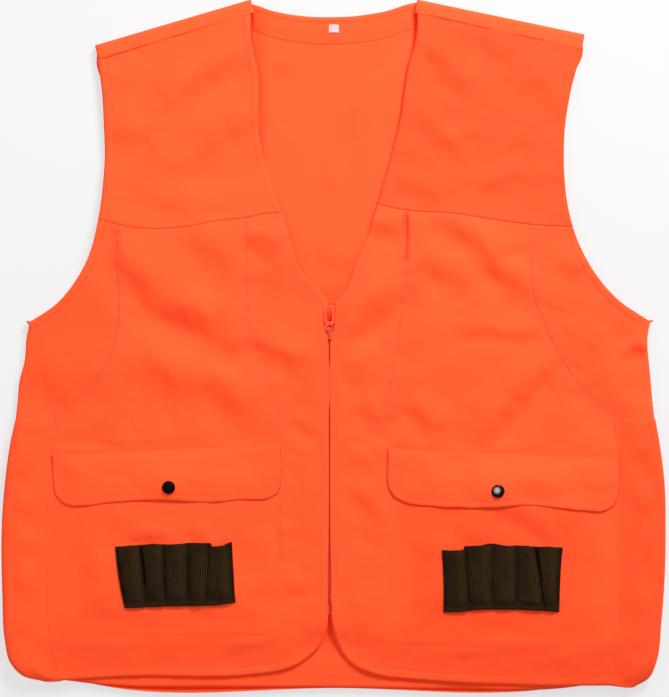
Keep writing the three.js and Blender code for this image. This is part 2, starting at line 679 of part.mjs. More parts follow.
// The crown is an arch along the slider that the pull's cross bar hangs in.
const crownProfile = [
  [sliderLow + 1.5, plateTop - 0.3], [sliderTop - 0.5, plateTop - 0.3], [sliderTop - 0.5, plateTop + bailRise - 0.6],
  [sliderTop - 1.6, plateTop + bailRise + 0.4], [sliderLow + 3.5, plateTop + 1.6],
];
const eye = new THREE.CylinderGeometry(0.95, 0.95, crownWidth + 2, 14);
eye.rotateZ(Math.PI / 2);
eye.translate(zipX, pinY, pinZ);
addNode("zip_slider", body.add(post).add(across(crownProfile, crownWidth, zipX)).subtract(solid(eye)), zipPaint);

// The pull: a long ring whose cross bar runs through the crown. It lies flat, towards the neck.
const ringOutline = (w, low, high, r) => [
  ...arc(zipX + w / 2 - r, low + r, r, r, -90, 0, 3), ...arc(zipX + w / 2 - r, high - r, r, r, 0, 90, 3),
  ...arc(zipX - w / 2 + r, high - r, r, r, 90, 180, 3), ...arc(zipX - w / 2 + r, low + r, r, r, 180, 270, 3),
];
const pullLow = pinY - 0.6;
const ring = prism(ringOutline(pullWidth * 0.72, pullLow, pullLow + 6.5, 1.2), pinZ - 0.6, pinZ + 0.6)
  .subtract(prism(ringOutline(pullWidth * 0.72 - 2.4, pullLow + 1.2, pullLow + 5.3, 0.6), pinZ - 2, pinZ + 2));
const tab = prism(ringOutline(pullWidth, pullLow + 5.6, pullLow + pullLength, 2.6), pinZ - pullThickness / 2, pinZ + pullThickness / 2)
  .subtract(prism(ringOutline(pullWidth - 4.4, pullLow + 8.4, pullLow + pullLength - 2.2, 1.4), pinZ - 2, pinZ + 2));
addNode("zip_pull", ring.add(tab), zipPaint);

// The lower end of a separating zip: a pin on the left edge stands in an open box on the right one.
const boxLow = zipBottomY - 12;
const boxTop = zipBottomY - 1;
const boxBody = prism([[zipX - 3.4, boxLow], [zipX + 2.0, boxLow], [zipX + 2.0, boxTop], [zipX - 3.4, boxTop]],
  zipMiddle - 1.4, zipMiddle + 1.2);
const pinSlot = prism([[zipX - 0.3, boxLow + 1.4], [zipX + 1.4, boxLow + 1.4], [zipX + 1.4, boxTop + 1], [zipX - 0.3, boxTop + 1]],
  zipMiddle - 0.7, zipMiddle + 4);
const tapeRoom = prism([[zipX - 4, boxLow - 1], [zipX - 2.0, boxLow - 1], [zipX - 2.0, boxTop + 1], [zipX - 4, boxTop + 1]],
  zipMiddle - 0.6, zipMiddle + 0.6);
addNode("zip_box", boxBody.subtract(pinSlot).subtract(tapeRoom), zipPlastic);
const pinOutline = [[zipX, boxLow + 2], [zipX + 1.1, boxLow + 2], [zipX + 1.1, boxTop + 0.5], [zipX, boxTop + 0.5]];
addNode("zip_pin", prism(pinOutline, zipMiddle - 0.3, zipMiddle + 0.7), zipPlastic);

export default vest;
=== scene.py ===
import math

import bpy
import numpy as np
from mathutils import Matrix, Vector


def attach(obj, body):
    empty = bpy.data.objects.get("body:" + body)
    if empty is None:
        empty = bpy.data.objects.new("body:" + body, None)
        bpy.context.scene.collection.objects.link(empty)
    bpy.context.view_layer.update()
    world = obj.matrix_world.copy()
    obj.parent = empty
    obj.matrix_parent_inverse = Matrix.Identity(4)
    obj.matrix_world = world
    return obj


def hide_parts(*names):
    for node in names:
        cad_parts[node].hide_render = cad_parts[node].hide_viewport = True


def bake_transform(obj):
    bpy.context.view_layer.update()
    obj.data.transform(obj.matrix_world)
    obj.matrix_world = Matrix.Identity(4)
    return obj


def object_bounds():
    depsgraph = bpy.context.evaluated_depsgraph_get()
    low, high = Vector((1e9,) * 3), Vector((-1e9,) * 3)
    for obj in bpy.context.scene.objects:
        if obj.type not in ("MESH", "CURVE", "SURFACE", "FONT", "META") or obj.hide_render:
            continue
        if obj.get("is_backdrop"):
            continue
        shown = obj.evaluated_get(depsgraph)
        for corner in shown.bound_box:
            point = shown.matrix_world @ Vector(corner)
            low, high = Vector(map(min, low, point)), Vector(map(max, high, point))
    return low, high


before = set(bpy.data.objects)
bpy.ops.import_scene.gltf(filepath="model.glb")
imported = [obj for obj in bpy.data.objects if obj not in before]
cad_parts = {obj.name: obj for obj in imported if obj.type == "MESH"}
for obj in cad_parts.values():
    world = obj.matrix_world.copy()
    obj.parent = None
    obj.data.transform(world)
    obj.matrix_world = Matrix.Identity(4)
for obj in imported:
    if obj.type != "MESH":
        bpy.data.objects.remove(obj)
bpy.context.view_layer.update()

mm = 0.001
sides = {"Left": 1, "Right": -1}  # the wearer's left half lies on +X

# shapes worked out as arrays, in millimetres


def smoothStep(t):
    # 3t^2 - 2t^3, held at 0 and 1 outside
    t = np.clip(t, 0, 1)
    return t * t * (3 - 2 * t)


def curveThrough(points, count):
    # cubic spans through the points with slopes from their neighbours, walked at even lengths
    p = np.asarray(points, float)
    chord = np.r_[0, np.cumsum(np.linalg.norm(np.diff(p, axis=0), axis=1))]
    slope = np.gradient(p, chord, axis=0)
    t = np.linspace(0, chord[-1], 30 * len(p))
    i = np.clip(np.searchsorted(chord, t, side="right") - 1, 0, len(p) - 2)
    h = (chord[i + 1] - chord[i])[:, None]
    u = (t - chord[i])[:, None] / h
    dense = (
        (1 + 2 * u) * (1 - u) ** 2 * p[i] + u * (1 - u) ** 2 * h * slope[i]
        + u * u * (3 - 2 * u) * p[i + 1] + u * u * (u - 1) * h * slope[i + 1]
    )
    length = np.r_[0, np.cumsum(np.linalg.norm(np.diff(dense, axis=0), axis=1))]
    walk = np.linspace(0, length[-1], count)
    return np.column_stack([np.interp(walk, length, dense[:, k]) for k in range(p.shape[1])])


def joined(*curves):
    # one line after another, with the shared ends kept once
    return np.concatenate([curves[0]] + [c[1:] for c in curves[1:]])


def patch(bottom, top, left, right):
    # the two ruled surfaces between opposite edges added, less the flat one through the corners
    columns, rows = len(bottom), len(left)
    u = np.linspace(0, 1, columns)[None, :, None]
    v = np.linspace(0, 1, rows)[:, None, None]
    ruled = (1 - v) * bottom[None] + v * top[None] + (1 - u) * left[:, None] + u * right[:, None]
    flat = (1 - u) * (1 - v) * bottom[0] + u * (1 - v) * bottom[-1]
    return ruled - flat - (1 - u) * v * top[0] - u * v * top[-1]


def distanceTo(x, y, line):
    # least distance to a line of points, its sign by side (left of the line's run is positive),
    # and the share of the line's length where it is met
    line = np.asarray(line, float)
    a, ab = line[:-1], np.diff(line, axis=0)
    size = np.maximum((ab ** 2).sum(1), 1e-9)
    px, py = np.ravel(x)[:, None], np.ravel(y)[:, None]
    t = np.clip(((px - a[:, 0]) * ab[:, 0] + (py - a[:, 1]) * ab[:, 1]) / size, 0, 1)
    dx, dy = px - a[:, 0] - t * ab[:, 0], py - a[:, 1] - t * ab[:, 1]
    d = np.hypot(dx, dy)
    k = d.argmin(1)
    n = np.arange(len(k))
    side = np.sign(ab[k, 0] * dy[n, k] - ab[k, 1] * dx[n, k])
    step = np.sqrt(size)
    before = np.r_[0, np.cumsum(step)]
    share = (before[k] + t[n, k] * step[k]) / before[-1]
    shape = np.shape(x)
    return d[n, k].reshape(shape), side.reshape(shape), share.reshape(shape)


# outlines, each point [out from the middle, up to the neck]
outline = {
    "Left": {
        "neckTop": [87, 366.4], "shoulderTip": [263.2, 329.6],
        "vEdge": [[87, 366.4], [84.5, 322], [77, 296], [68.3, 240], [56, 190.6], [41.5, 141], [34, 115],
                  [22, 88], [10.5, 59], [-2, 48.8]],
        "armhole": [[263.2, 329.6], [258, 306], [248.5, 270], [243, 238], [241, 206], [242, 172],
                    [248, 133], [264, 91], [296, 50], [332, 26]],
        "side": [[332, 26], [329, 5], [331, -14], [334, -50], [336, -82]],
        "bag": [[337, -76], [341, -98], [346.5, -140], [348, -200], [346, -260], [343.5, -290],
                [339, -329], [331, -349], [316, -359]],
        "yokeSeam": [[44, 149.5], [58, 146], [71, 142.4], [90, 142.2], [136, 138], [173, 132], [246, 124]],
        "facing": [[74.6, 142], [74.6, 93], [67, 17], [61, -22.6], [50, -66.7], [43, -82], [32, -92], [10, -98]],
        "sideSeam": [[204, 129], [205, 112], [210, 47], [222.6, 17], [235, -10], [259, -42], [285, -66], [304, -78]],
        "flap": [[55, -107], [54.5, -127], [55.7, -148], [61, -157], [72, -163], [102, -167], [136, -168.5],
                 [168, -168.2], [197, -165.6], [230, -168.5], [259, -171.5], [281, -172.5], [291, -168],
                 [297, -158], [298.5, -139], [299, -117]],
        "pocket": [55.5, 298, -317],
        "hem": [[-4.8, -268], [-2.4, -297], [5, -318], [18, -334], [44, -345.5], [80, -350], [130, -353.5],
                [200, -356.5], [296, -357]],
    },
    "Right": {
        "neckTop": [89, 366.4], "shoulderTip": [253.4, 318],
        "vEdge": [[89, 366.4], [87.2, 316.6], [81.5, 290], [78.8, 216.8], [64, 164.3], [50, 122.3],
                  [36, 80.3], [16, 59.3], [4.2, 48.8]],
        "armhole": [[253.4, 318], [249.5, 297], [245.5, 270], [243.5, 235], [242.6, 200], [244, 172],
                    [249, 133], [260, 91], [289, 48], [322, 25]],
        "side": [[322, 25], [325.5, 7], [327, -14], [333, -38], [334.5, -56], [336, -82]],
        "bag": [[336, -76], [341, -98], [347, -140], [350, -175], [350, -262], [347.6, -308],
                [342, -332], [330, -346], [308, -353]],
        "yokeSeam": [[57, 141.5], [66, 140], [94.5, 135], [124, 131.8], [158.5, 125.5], [192, 123.4],
                     [215, 125.5], [251, 132.5]],
        "facing": [[92.4, 133], [92.4, 116], [89, 27.8], [81, -2.6], [69, -30], [57.8, -73], [53, -83],
                   [37, -90], [12, -96]],
        "sideSeam": [[227, 125.5], [229, 104], [229, 15], [236, -12], [256, -40], [284, -66], [304, -78]],
        "flap": [[57, -103], [55.5, -131], [56.7, -145.4], [60, -154], [67, -158], [100.8, -160.5],
                 [129, -163], [147, -162.4], [178.5, -160.6], [211, -161.3], [242.6, -164.3], [262, -167],
                 [276, -167], [286, -163.5], [293, -155], [295.5, -141], [297, -113]],
        "pocket": [56, 297, -307],
        "hem": [[7.5, -268], [8.6, -297], [16, -315], [32, -330], [50, -339], [88, -345.5], [140, -347.5],
                [200, -347], [296, -352]],
    },
}
zipX = -6.0  # the front opening, a little to the wearer's right


def onSide(side, points):
    # points given outwards from the middle, put on their own half
    return np.asarray(points, float) * [side, 1]


# levels of the cloth
level = {
    "front": 19.1, "chest": 10.5, "fallFrom": 50, "fallOver": 165,  # the front's top, and where it sinks
    "hemSink": 7.0, "hemOver": 50, "sideSink": 5.5, "sideOver": 60,
    "back": 1.1, "bag": 7.4,  # the back's inside
    "middle": [(-90, 7.4), (-20, 9.0), (20, 11.0), (46, 12.0), (62, 13.6), (100, 13.6),
               (130, 11.8), (215, 7.4), (346, 6.4)],
}

lightFrom = np.array([0.45, 0.9])

# each crease: a dark slope along a line, its crest towards the light; steepness, then half width in mm
creases = {
    "Right": [
        ([[-226, 106], [-211, 70], [-194, 51], [-174, 38], [-150, 30], [-124, 28.5], [-98, 27]], 0.4, 10),
        ([[-182, 41], [-151, 21], [-128, 10], [-110, 2], [-88, -12]], 0.34, 9),
        ([[-90, 16], [-76, -3], [-56, -11.5], [-36, -19.5], [-20, -28]], 0.42, 8),
        ([[-222, -14], [-198, -21], [-176, -31], [-150, -41], [-125, -47.5], [-108, -61], [-92, -74],
          [-76, -86]], 0.36, 10),
        ([[-100, 112], [-82, 109], [-68, 104], [-56, 97]], 0.5, 7.5),
        ([[-94, 86], [-70, 75], [-48, 60]], 0.22, 15),
        ([[-160, 124], [-138, 104], [-118, 81], [-103, 56]], 0.22, 9),
        ([[-226, 126], [-228, 100], [-227, 74]], 0.22, 6),
        ([[-262, -26], [-248, -42], [-230, -60]], 0.2, 12),
        ([[-210, -43], [-185, -51], [-168, -61], [-150, -86]], 0.18, 11),
        ([[-48, -76], [-30, -85], [-18, -93]], 0.42, 3.5),
        ([[-258, -103], [-220, -103.5], [-180, -102]], 0.3, 3.5),
        ([[-178, 236], [-160, 259], [-133, 283], [-88, 312]], 0.36, 8),
        ([[-116, 228], [-100, 232], [-86, 242]], 0.22, 7),
        ([[-164, 174], [-143, 196], [-122, 212], [-104, 232]], 0.2, 8),
        ([[-210, 154], [-150, 146], [-98, 149]], 0.2, 7),
        ([[-236, 232], [-214, 222], [-196, 226]], 0.16, 8),
        ([[-232, 268], [-216, 280], [-196, 292]], 0.14, 9),
        ([[-82, -160], [-72, -184], [-64, -208]], 0.2, 9),
        ([[-66, -226], [-52, -208], [-40, -188]], 0.26, 9),
        ([[-90, -324], [-64, -304], [-42, -281]], 0.34, 6),
        ([[-122, -330], [-100, -316], [-84, -306]], 0.24, 5),
        ([[-50, -252], [-30, -255], [-14, -252]], 0.3, 4),
        ([[-60, -268], [-44, -250], [-34, -226]], 0.22, 7),
        ([[-40, -150], [-30, -130], [-22, -112]], 0.18, 7),
        ([[-330, -96], [-296, -98], [-262, -94], [-224, -88]], 0.18, 9),
        ([[-334, -18], [-300, -40], [-262, -70]], 0.16, 14),
    ],
    "Left": [
        ([[92, 127], [121, 120], [139, 111], [153, 100], [168, 81], [182, 66], [200, 54], [217, 47]], 0.5, 8.5),
        ([[86, 78], [107, 81], [126, 72], [149, 55]], 0.3, 11),
        ([[-2, 4], [21, 18], [39, 32], [57, 47], [80, 74]], 0.52, 9),
        ([[119, 15], [170, 13], [224, 11]], 0.3, 4.5),
        ([[238, -23], [221, -27], [207, -38], [189, -56], [175, -74], [165, -98], [158, -112]], 0.52, 8.5),
        ([[75, -54], [89, -71], [105, -95]], 0.42, 7),
        ([[172, 100], [190, 101], [209, 98]], 0.28, 5),
        ([[232, 88], [246, 79], [262, 73]], 0.34, 6),
        ([[32, 128], [50, 122], [72, 119]], 0.36, 6),
        ([[21, -60], [36, -71], [52, -75]], 0.4, 5),
        ([[36, -93], [49, -85], [57, -70]], 0.4, 5),
        ([[2, -20], [18, -25], [32, -30]], 0.26, 9),
        ([[224, 118], [222, 84], [226, 56]], 0.14, 12),
        ([[258, -26], [282, -54], [318, -78]], 0.3, 10),
        ([[262, 2], [282, -14], [300, -38]], 0.2, 11),
        ([[300, -14], [316, -4], [334, -10]], 0.5, 5),
        ([[292, 30], [310, 10], [326, -20]], 0.24, 9),
        ([[88, 316], [110, 301], [124, 282], [146, 268]], 0.3, 6),
        ([[78, 246], [100, 227], [114, 213], [139, 195]], 0.26, 6),
        ([[112, 214], [135, 219], [160, 220]], 0.22, 4.5),
        ([[147, 173], [169, 167], [187, 178], [210, 178]], 0.32, 5.5),
        ([[150, 330], [170, 311], [192, 300]], 0.2, 7),
        ([[198, 282], [222, 262], [232, 246]], 0.18, 8),
        ([[64, 176], [86, 164], [116, 149]], 0.24, 6),
        ([[206, 226], [212, 200], [208, 170]], 0.12, 12),
        ([[17, -144], [36, -173], [51, -192]], 0.32, 6.5),
        ([[26, -186], [36, -198], [47, -206]], 0.26, 5),
        ([[12, -252], [27, -290], [42, -319]], 0.3, 7),
        ([[52, -270], [44, -290], [34, -310]], 0.22, 5),
        ([[8, -118], [22, -122], [38, -118]], 0.2, 6),
        ([[128, -328], [140, -322], [150, -316]], 0.26, 4),
        ([[88, -334], [104, -326], [112, -322]], 0.22, 5),
        ([[200, -340], [226, -334], [250, -338]], 0.2, 6),
    ],
    "back": [
        ([[-72, 298], [-58, 288], [-40, 278]], 0.22, 9),
        ([[14, 188], [26, 258], [55, 312]], 0.16, 9),
        ([[-16, 166], [-6, 160], [6, 154]], 0.2, 6),
        ([[-62, 240], [-56, 200], [-44, 160]], 0.12, 9),
        ([[-10, 330], [-4, 280], [2, 220]], 0.07, 16),
        ([[-24, 100], [-10, 86], [2, 72]], 0.16, 9),
    ],
    "bagRight": [
        ([[-336, -178], [-316, -173], [-294, -158]], 0.24, 8),
        ([[-332, -220], [-311, -209], [-286, -190]], 0.36, 8),
        ([[-328, -266], [-306, -250], [-281, -234]], 0.4, 8),
        ([[-324, -311], [-303, -291], [-284, -262]], 0.36, 8),
        ([[-308, -333], [-294, -309], [-288, -288]], 0.28, 7),
        ([[-338, -140], [-322, -130], [-304, -122]], 0.16, 9),
    ],
    "bagLeft": [
        ([[286, -144], [302, -162], [318, -186]], 0.3, 9),
        ([[286, -236], [302, -240], [318, -246]], 0.24, 10),
        ([[278, -253], [300, -274], [326, -292]], 0.26, 12),
        ([[310, -200], [326, -216], [336, -240]], 0.2, 8),
        ([[268, -345], [292, -335], [317, -325]], 0.36, 6),
        ([[300, -306], [318, -312], [334, -308]], 0.24, 6),
        ([[316, -104], [330, -120], [340, -146]], 0.24, 7),
    ],
    "pocketRight": [
        ([[-222, -203], [-196, -199], [-168, -201]], 0.34, 4.5),
        ([[-154, -190], [-146, -197], [-136, -203]], 0.36, 4.5),
        ([[-152, -272], [-140, -278], [-122, -284]], 0.3, 4.5),
        ([[-240, -184], [-214, -192], [-192, -190]], 0.16, 9),
        ([[-92, -190], [-84, -228], [-92, -262]], 0.2, 11),
        ([[-262, -210], [-256, -246], [-262, -282]], 0.16, 12),
        ([[-230, -292], [-190, -298], [-150, -296]], 0.14, 8),
    ],
    "pocketLeft": [
        ([[172, -164], [193, -180], [216, -195], [234, -208]], 0.34, 6.5),
        ([[137, -166], [134, -186], [132, -208]], 0.24, 7),
        ([[222, -172], [236, -184], [252, -188]], 0.2, 7),
        ([[252, -191], [270, -245], [261, -291]], 0.18, 12),
        ([[80, -190], [88, -232], [84, -276]], 0.14, 12),
        ([[128, -284], [160, -290], [200, -286]], 0.2, 6),
        ([[118, -292], [126, -302], [138, -310]], 0.22, 5),
    ],
    "flapRight": [
        ([[-264, -120], [-220, -128], [-180, -124]], 0.14, 9),
        ([[-196, -148], [-160, -138], [-120, -144]], 0.12, 10),
        ([[-290, -128], [-278, -132], [-268, -142]], 0.2, 6),
    ],
    "flapLeft": [
        ([[154, -110], [143, -134], [138, -162]], 0.24, 9),
        ([[178, -138], [204, -149], [228, -146]], 0.2, 8),
        ([[84, -120], [96, -132], [98, -150]], 0.12, 9),
        ([[246, -124], [262, -138], [270, -156]], 0.14, 9),
    ],
}


# warp bends every crease a little, spread widens it, and the hem already slopes, so it gets a share
creaseLook = {"warp": 3.5, "spread": 1.6, "reach": 3.6, "hemBelow": -270, "hemShare": 0.55}


def creaseHeight(x, y, names):
    # each adds steepness * distance * exp(-u*u/2), u the distance over its half width, fading at its ends
    z = np.zeros(np.shape(x))
    warp = creaseLook["warp"]
    x, y = x + warp * ripple(x, y, 64, 5), y + warp * ripple(x, y, 58, 6)
    for name in names:
        for along, steep, width in creases[name]:
            line = curveThrough(along, 14)
            width = creaseLook["spread"] * width
            steep = steep * (creaseLook["hemShare"] if line[:, 1].mean() < creaseLook["hemBelow"] else 1)
            reach = creaseLook["reach"] * width
            near = (
                (x > line[:, 0].min() - reach) & (x < line[:, 0].max() + reach)
                & (y > line[:, 1].min() - reach) & (y < line[:, 1].max() + reach)
            )
            if not near.any():
                continue
            d, side, share = distanceTo(x[near], y[near], line)
            run = line[-1] - line[0]
            towards = np.sign(-run[1] * lightFrom[0] + run[0] * lightFrom[1])
            u = d * side * towards / width
            fade = smoothStep((share + 0.06) / 0.34) * smoothStep((1.06 - share) / 0.34)
            z[near] += steep * width * u * np.exp(-0.5 * u * u) * fade
    return z


def ripple(x, y, size, seed):
    # a sum of six slanted sine waves, long ones first, for cloth that isn't quite flat
    waves = np.random.default_rng(seed)
    z = np.zeros(np.shape(x))
    for k in range(6):
        length = size / (1 + 0.45 * k)
        turn, shift = waves.uniform(0, 2 * np.pi, 2)
        z += np.sin(2 * np.pi * (x * np.cos(turn) + y * np.sin(turn)) / length + shift) / (1 + 0.7 * k)
    return z / 2.2


def hemShape(d, stitch=8.0):
    # the rounded edge, the turned hem's thickness up to its stitch, and the dip at the stitch
    roll = -1.5 * np.clip(1 - d / 2.4, 0, 1) ** 2
    hem = 0.45 * smoothStep((stitch + 0.8 - d) / 1.8)
    dip = -0.55 * np.exp(-(((d - stitch) / 0.9) ** 2))
    return roll + hem + dip


def pucker(d, share, length, stitch=8.0, size=0.16):
    # short waves along a stitched edge that die away from its stitch
    s = share * length
    wave = np.sin(s / 2.1 + 1.3 * np.sin(s / 9.0)) + 0.6 * np.sin(s / 5.3 + 2 * np.sin(s / 23.0))
    return size * wave * np.exp(-(((d - stitch) / 6.0) ** 2))


# the lines that the front's cloth answers to, worked out once for each half
lines = {}
for name, side in sides.items():
    o = outline[name]
    lines[name] = {
        "vEdge": onSide(side, curveThrough(o["vEdge"][:-1] + [[o["vEdge"][-1][0] + 2, 46]], 60)),
        "armhole": onSide(side, curveThrough(o["armhole"], 60)),
        "side": onSide(side, curveThrough(o["side"], 24)),
        "bag": onSide(side, curveThrough(o["bag"], 60)),
        "yokeSeam": onSide(side, curveThrough(o["yokeSeam"], 40)),
        "facing": onSide(side, curveThrough(o["facing"], 60)),
        "sideSeam": onSide(side, curveThrough(o["sideSeam"], 40)),
        "hem": onSide(side, curveThrough(o["hem"], 90)),
        "shoulder": onSide(side, np.array([o["neckTop"], o["shoulderTip"]], float)),
    }
    hemStart = lines[name]["hem"][0]
    vEnd = lines[name]["vEdge"][-1]
    lines[name]["centre"] = curveThrough([
        vEnd, [zipX + side * 5.0, 30], [zipX + side * 4.4, 15], [zipX + side * 1.1, 5], [zipX + side * 0.9, -11],
        [zipX + side * 0.15, -20], [zipX + side * 0.15, -58], [zipX + side * 0.5, -70], [zipX + side * 0.55, -120],
        [zipX + side * 0.75, -200], [zipX + side * 1.45, -246],
        hemStart], 80)


def frontLevel(x, y, name):
    # the front's mean height: high over the pockets, sinking to the chest, the hem and the sides
    own = lines[name]
    z = level["front"] - (level["front"] - level["chest"]) * smoothStep((y - level["fallFrom"]) / level["fallOver"])
    low = smoothStep(1 - distanceTo(x, y, own["hem"])[0] / level["hemOver"])
    z = z - level["hemSink"] * low * smoothStep((-284 - y) / 36)
    out = smoothStep(1 - distanceTo(x, y, own["side"])[0] / level["sideOver"])
    return z - level["sideSink"] * out * smoothStep((y + 84) / 40) * smoothStep((130 - y) / 80)


def frontSurface(x, y, name, hems=True):
    # mean height, creases, a soft ripple, and the shapes of the hems and seams
    side, own, o = sides[name], lines[name], outline[name]
    centre = np.abs(x - zipX)
    calm = 0.15 + 0.85 * smoothStep((centre - 3) / 26)
    calm = np.where(y > 60, 1.0, calm)
    low, high, bottom = o["pocket"]
    inside = smoothStep((np.abs(x) - low + 2) / 10) * smoothStep((high + 2 - np.abs(x)) / 10)
    inside = inside * smoothStep((-100 - y) / 8) * smoothStep((y - bottom + 6) / 10)
    z = frontLevel(x, y, name)
    z = z + (1 - 0.9 * inside) * calm * (creaseHeight(x, y, [name]) + 1.5 * ripple(x, y, 130, 3 + side))
    z = z + calm * (1 - inside) * 0.3 * ripple(x, y, 40, 11 + side)
    if not hems:
        return z
    # beside the zip the cloth lies level, between the slider's plate and its pull
    beside = (1 - smoothStep((centre - 5) / 10)) * smoothStep((44 - y) / 8) * smoothStep((y + 286) / 14)
    z = z + (level["front"] - z) * beside
    for key, length in (("vEdge", 340), ("armhole", 330), ("centre", 320), ("hem", 340)):
        d, _, share = distanceTo(x, y, own[key])
        weight = {
            "centre": 0.35 - 0.2 * smoothStep((y + 290) / 20),
            "vEdge": 0.3 + 0.7 * smoothStep((y - 110) / 60),
        }.get(key, 1)
        z = z + (hemShape(d) * (d < 14) + pucker(d, share, length) * (d < 22)) * weight
    for key, depth in (("yokeSeam", 0.16), ("sideSeam", 0.16), ("facing", 0.18)):
        d, across, share = distanceTo(x, y, own[key])
        z = z - depth * np.exp(-((d / 1.1) ** 2)) + pucker(d, share, 200, 0.0, 0.25)
        if key == "facing" and name == "Left":  # a pleat hangs from the yoke along its upper part
            reach = smoothStep((0.24 - share) / 0.1) * smoothStep((share + 0.01) / 0.03)
            z = z - 2.6 * np.exp(-((d / 2.1) ** 2)) * reach
        if key == "yokeSeam":  # the yoke's turned edge lies on top
            z = z + 0.2 * smoothStep((d * across * side + 1) / 2) * np.exp(-((d / 7) ** 2))
    return z


def paintedSeamShade(x, y, marked):
    # 0 on open cloth, rising to each line's strength along it: painted shade along seams, hems and edges, where
    # contact shadow falls
    mark = np.zeros(np.shape(x))
    for line, width, strength in marked:
        d, _, share = distanceTo(x, y, line)
        wander = 0.72 + 0.28 * np.sin(share * 41 + 3 * np.sin(share * 17))
        mark = np.maximum(mark, strength * wander * np.exp(-((d / width) ** 2)))
    return mark


def backLevel(x, y):
    # the back's inner face: on the table at the chest, over the game bag below, puffed in the middle
    z = level["back"] + (level["bag"] - level["back"]) * smoothStep((-50 - y) / 28)
    ys, zs = zip(*level["middle"])
    raised = np.interp(y, ys, zs)
    return z + np.maximum(raised - z, 0) * smoothStep((93 - np.abs(x)) / 24)


# meshes


def quadMesh(name, points, faces):
    # a mesh from points in metres and four corners for each face, with its edges worked out
    mesh = bpy.data.meshes.new(name)
    mesh.vertices.add(len(points))
    mesh.vertices.foreach_set("co", points.astype(np.float32).ravel())
    mesh.loops.add(faces.size)
    mesh.loops.foreach_set("vertex_index", faces.ravel().astype(np.int32))
    mesh.polygons.add(len(faces))
    mesh.polygons.foreach_set("loop_start", np.arange(0, faces.size, 4, dtype=np.int32))
    mesh.update(calc_edges=True)
    return mesh


def makeMesh(name, grids, flats, marks=None, material=None, weld=False):
    # grids of points become quads; flats are the same points on the flat cut, used as UV in metres
    points, faces, uv, mark, start = [], [], [], [], 0
    for n, (grid, flat) in enumerate(zip(grids, flats)):
        rows, columns = grid.shape[:2]
        index = np.arange(rows * columns).reshape(rows, columns) + start
        quads = np.stack([index[:-1, :-1], index[:-1, 1:], index[1:, 1:], index[1:, :-1]], -1).reshape(-1, 4)
        points.append(grid.reshape(-1, 3))
        uv.append(flat.reshape(-1, 2))
        mark.append(np.zeros(rows * columns) if marks is None else marks[n].ravel())
        faces.append(quads)
        start += rows * columns
    points, faces = np.concatenate(points) * mm, np.concatenate(faces)
    uv, mark = np.concatenate(uv) * mm, np.concatenate(mark)
    mesh = quadMesh(name, points, faces)
    mesh.polygons.foreach_set("use_smooth", np.ones(len(faces), bool))
    layer = mesh.uv_layers.new(name="flat")
    layer.data.foreach_set("uv", uv[faces.ravel()].astype(np.float32).ravel())
    # the seam attribute carries the marks: painted shade along seams and edges, and over whole pieces
    seam = mesh.attributes.new("seam", "FLOAT", "POINT")
    seam.data.foreach_set("value", mark.astype(np.float32))
    mesh.validate()
    obj = bpy.data.objects.new(name, mesh)
    bpy.context.scene.collection.objects.link(obj)
    if material:
        mesh.materials.append(material)
    if weld:
        join = obj.modifiers.new("weld", "WELD")
        join.merge_threshold = 0.00002
    obj["flatArea"] = float(sum(np.abs(quadArea(f)).sum() for f in flats)) * mm * mm
    spans = np.ptp(np.concatenate([f.reshape(-1, 2) for f in flats]), axis=0) * mm
    obj["flatSpan"] = [float(v) for v in spans]
    return obj


def quadArea(flat):
    # half the cross product of each quad's diagonals
    a, b = flat[1:, 1:] - flat[:-1, :-1], flat[1:, :-1] - flat[:-1, 1:]
    return 0.5 * (a[..., 0] * b[..., 1] - a[..., 1] * b[..., 0])


def turned(grid):
    # the same points with their columns reversed, so that the faces look the other way
    return grid[:, ::-1]


def faceUp(side):
    # the right half is a mirror image, so its columns are turned to keep the same face up
    return (lambda grid: grid) if side > 0 else turned


def addCloth(obj, thickness):
    # thickens the sheet below its surface
    solid = obj.modifiers.new("cloth", "SOLIDIFY")
    solid.thickness = thickness * mm
    solid.offset = -1
    solid.use_even_offset = False


def bendAtFold(obj):
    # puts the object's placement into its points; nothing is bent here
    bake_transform(obj)


# materials
def setColour(node, rgb):
    # the shader's base colour, opaque
    node.inputs["Base Color"].default_value = (*rgb, 1)


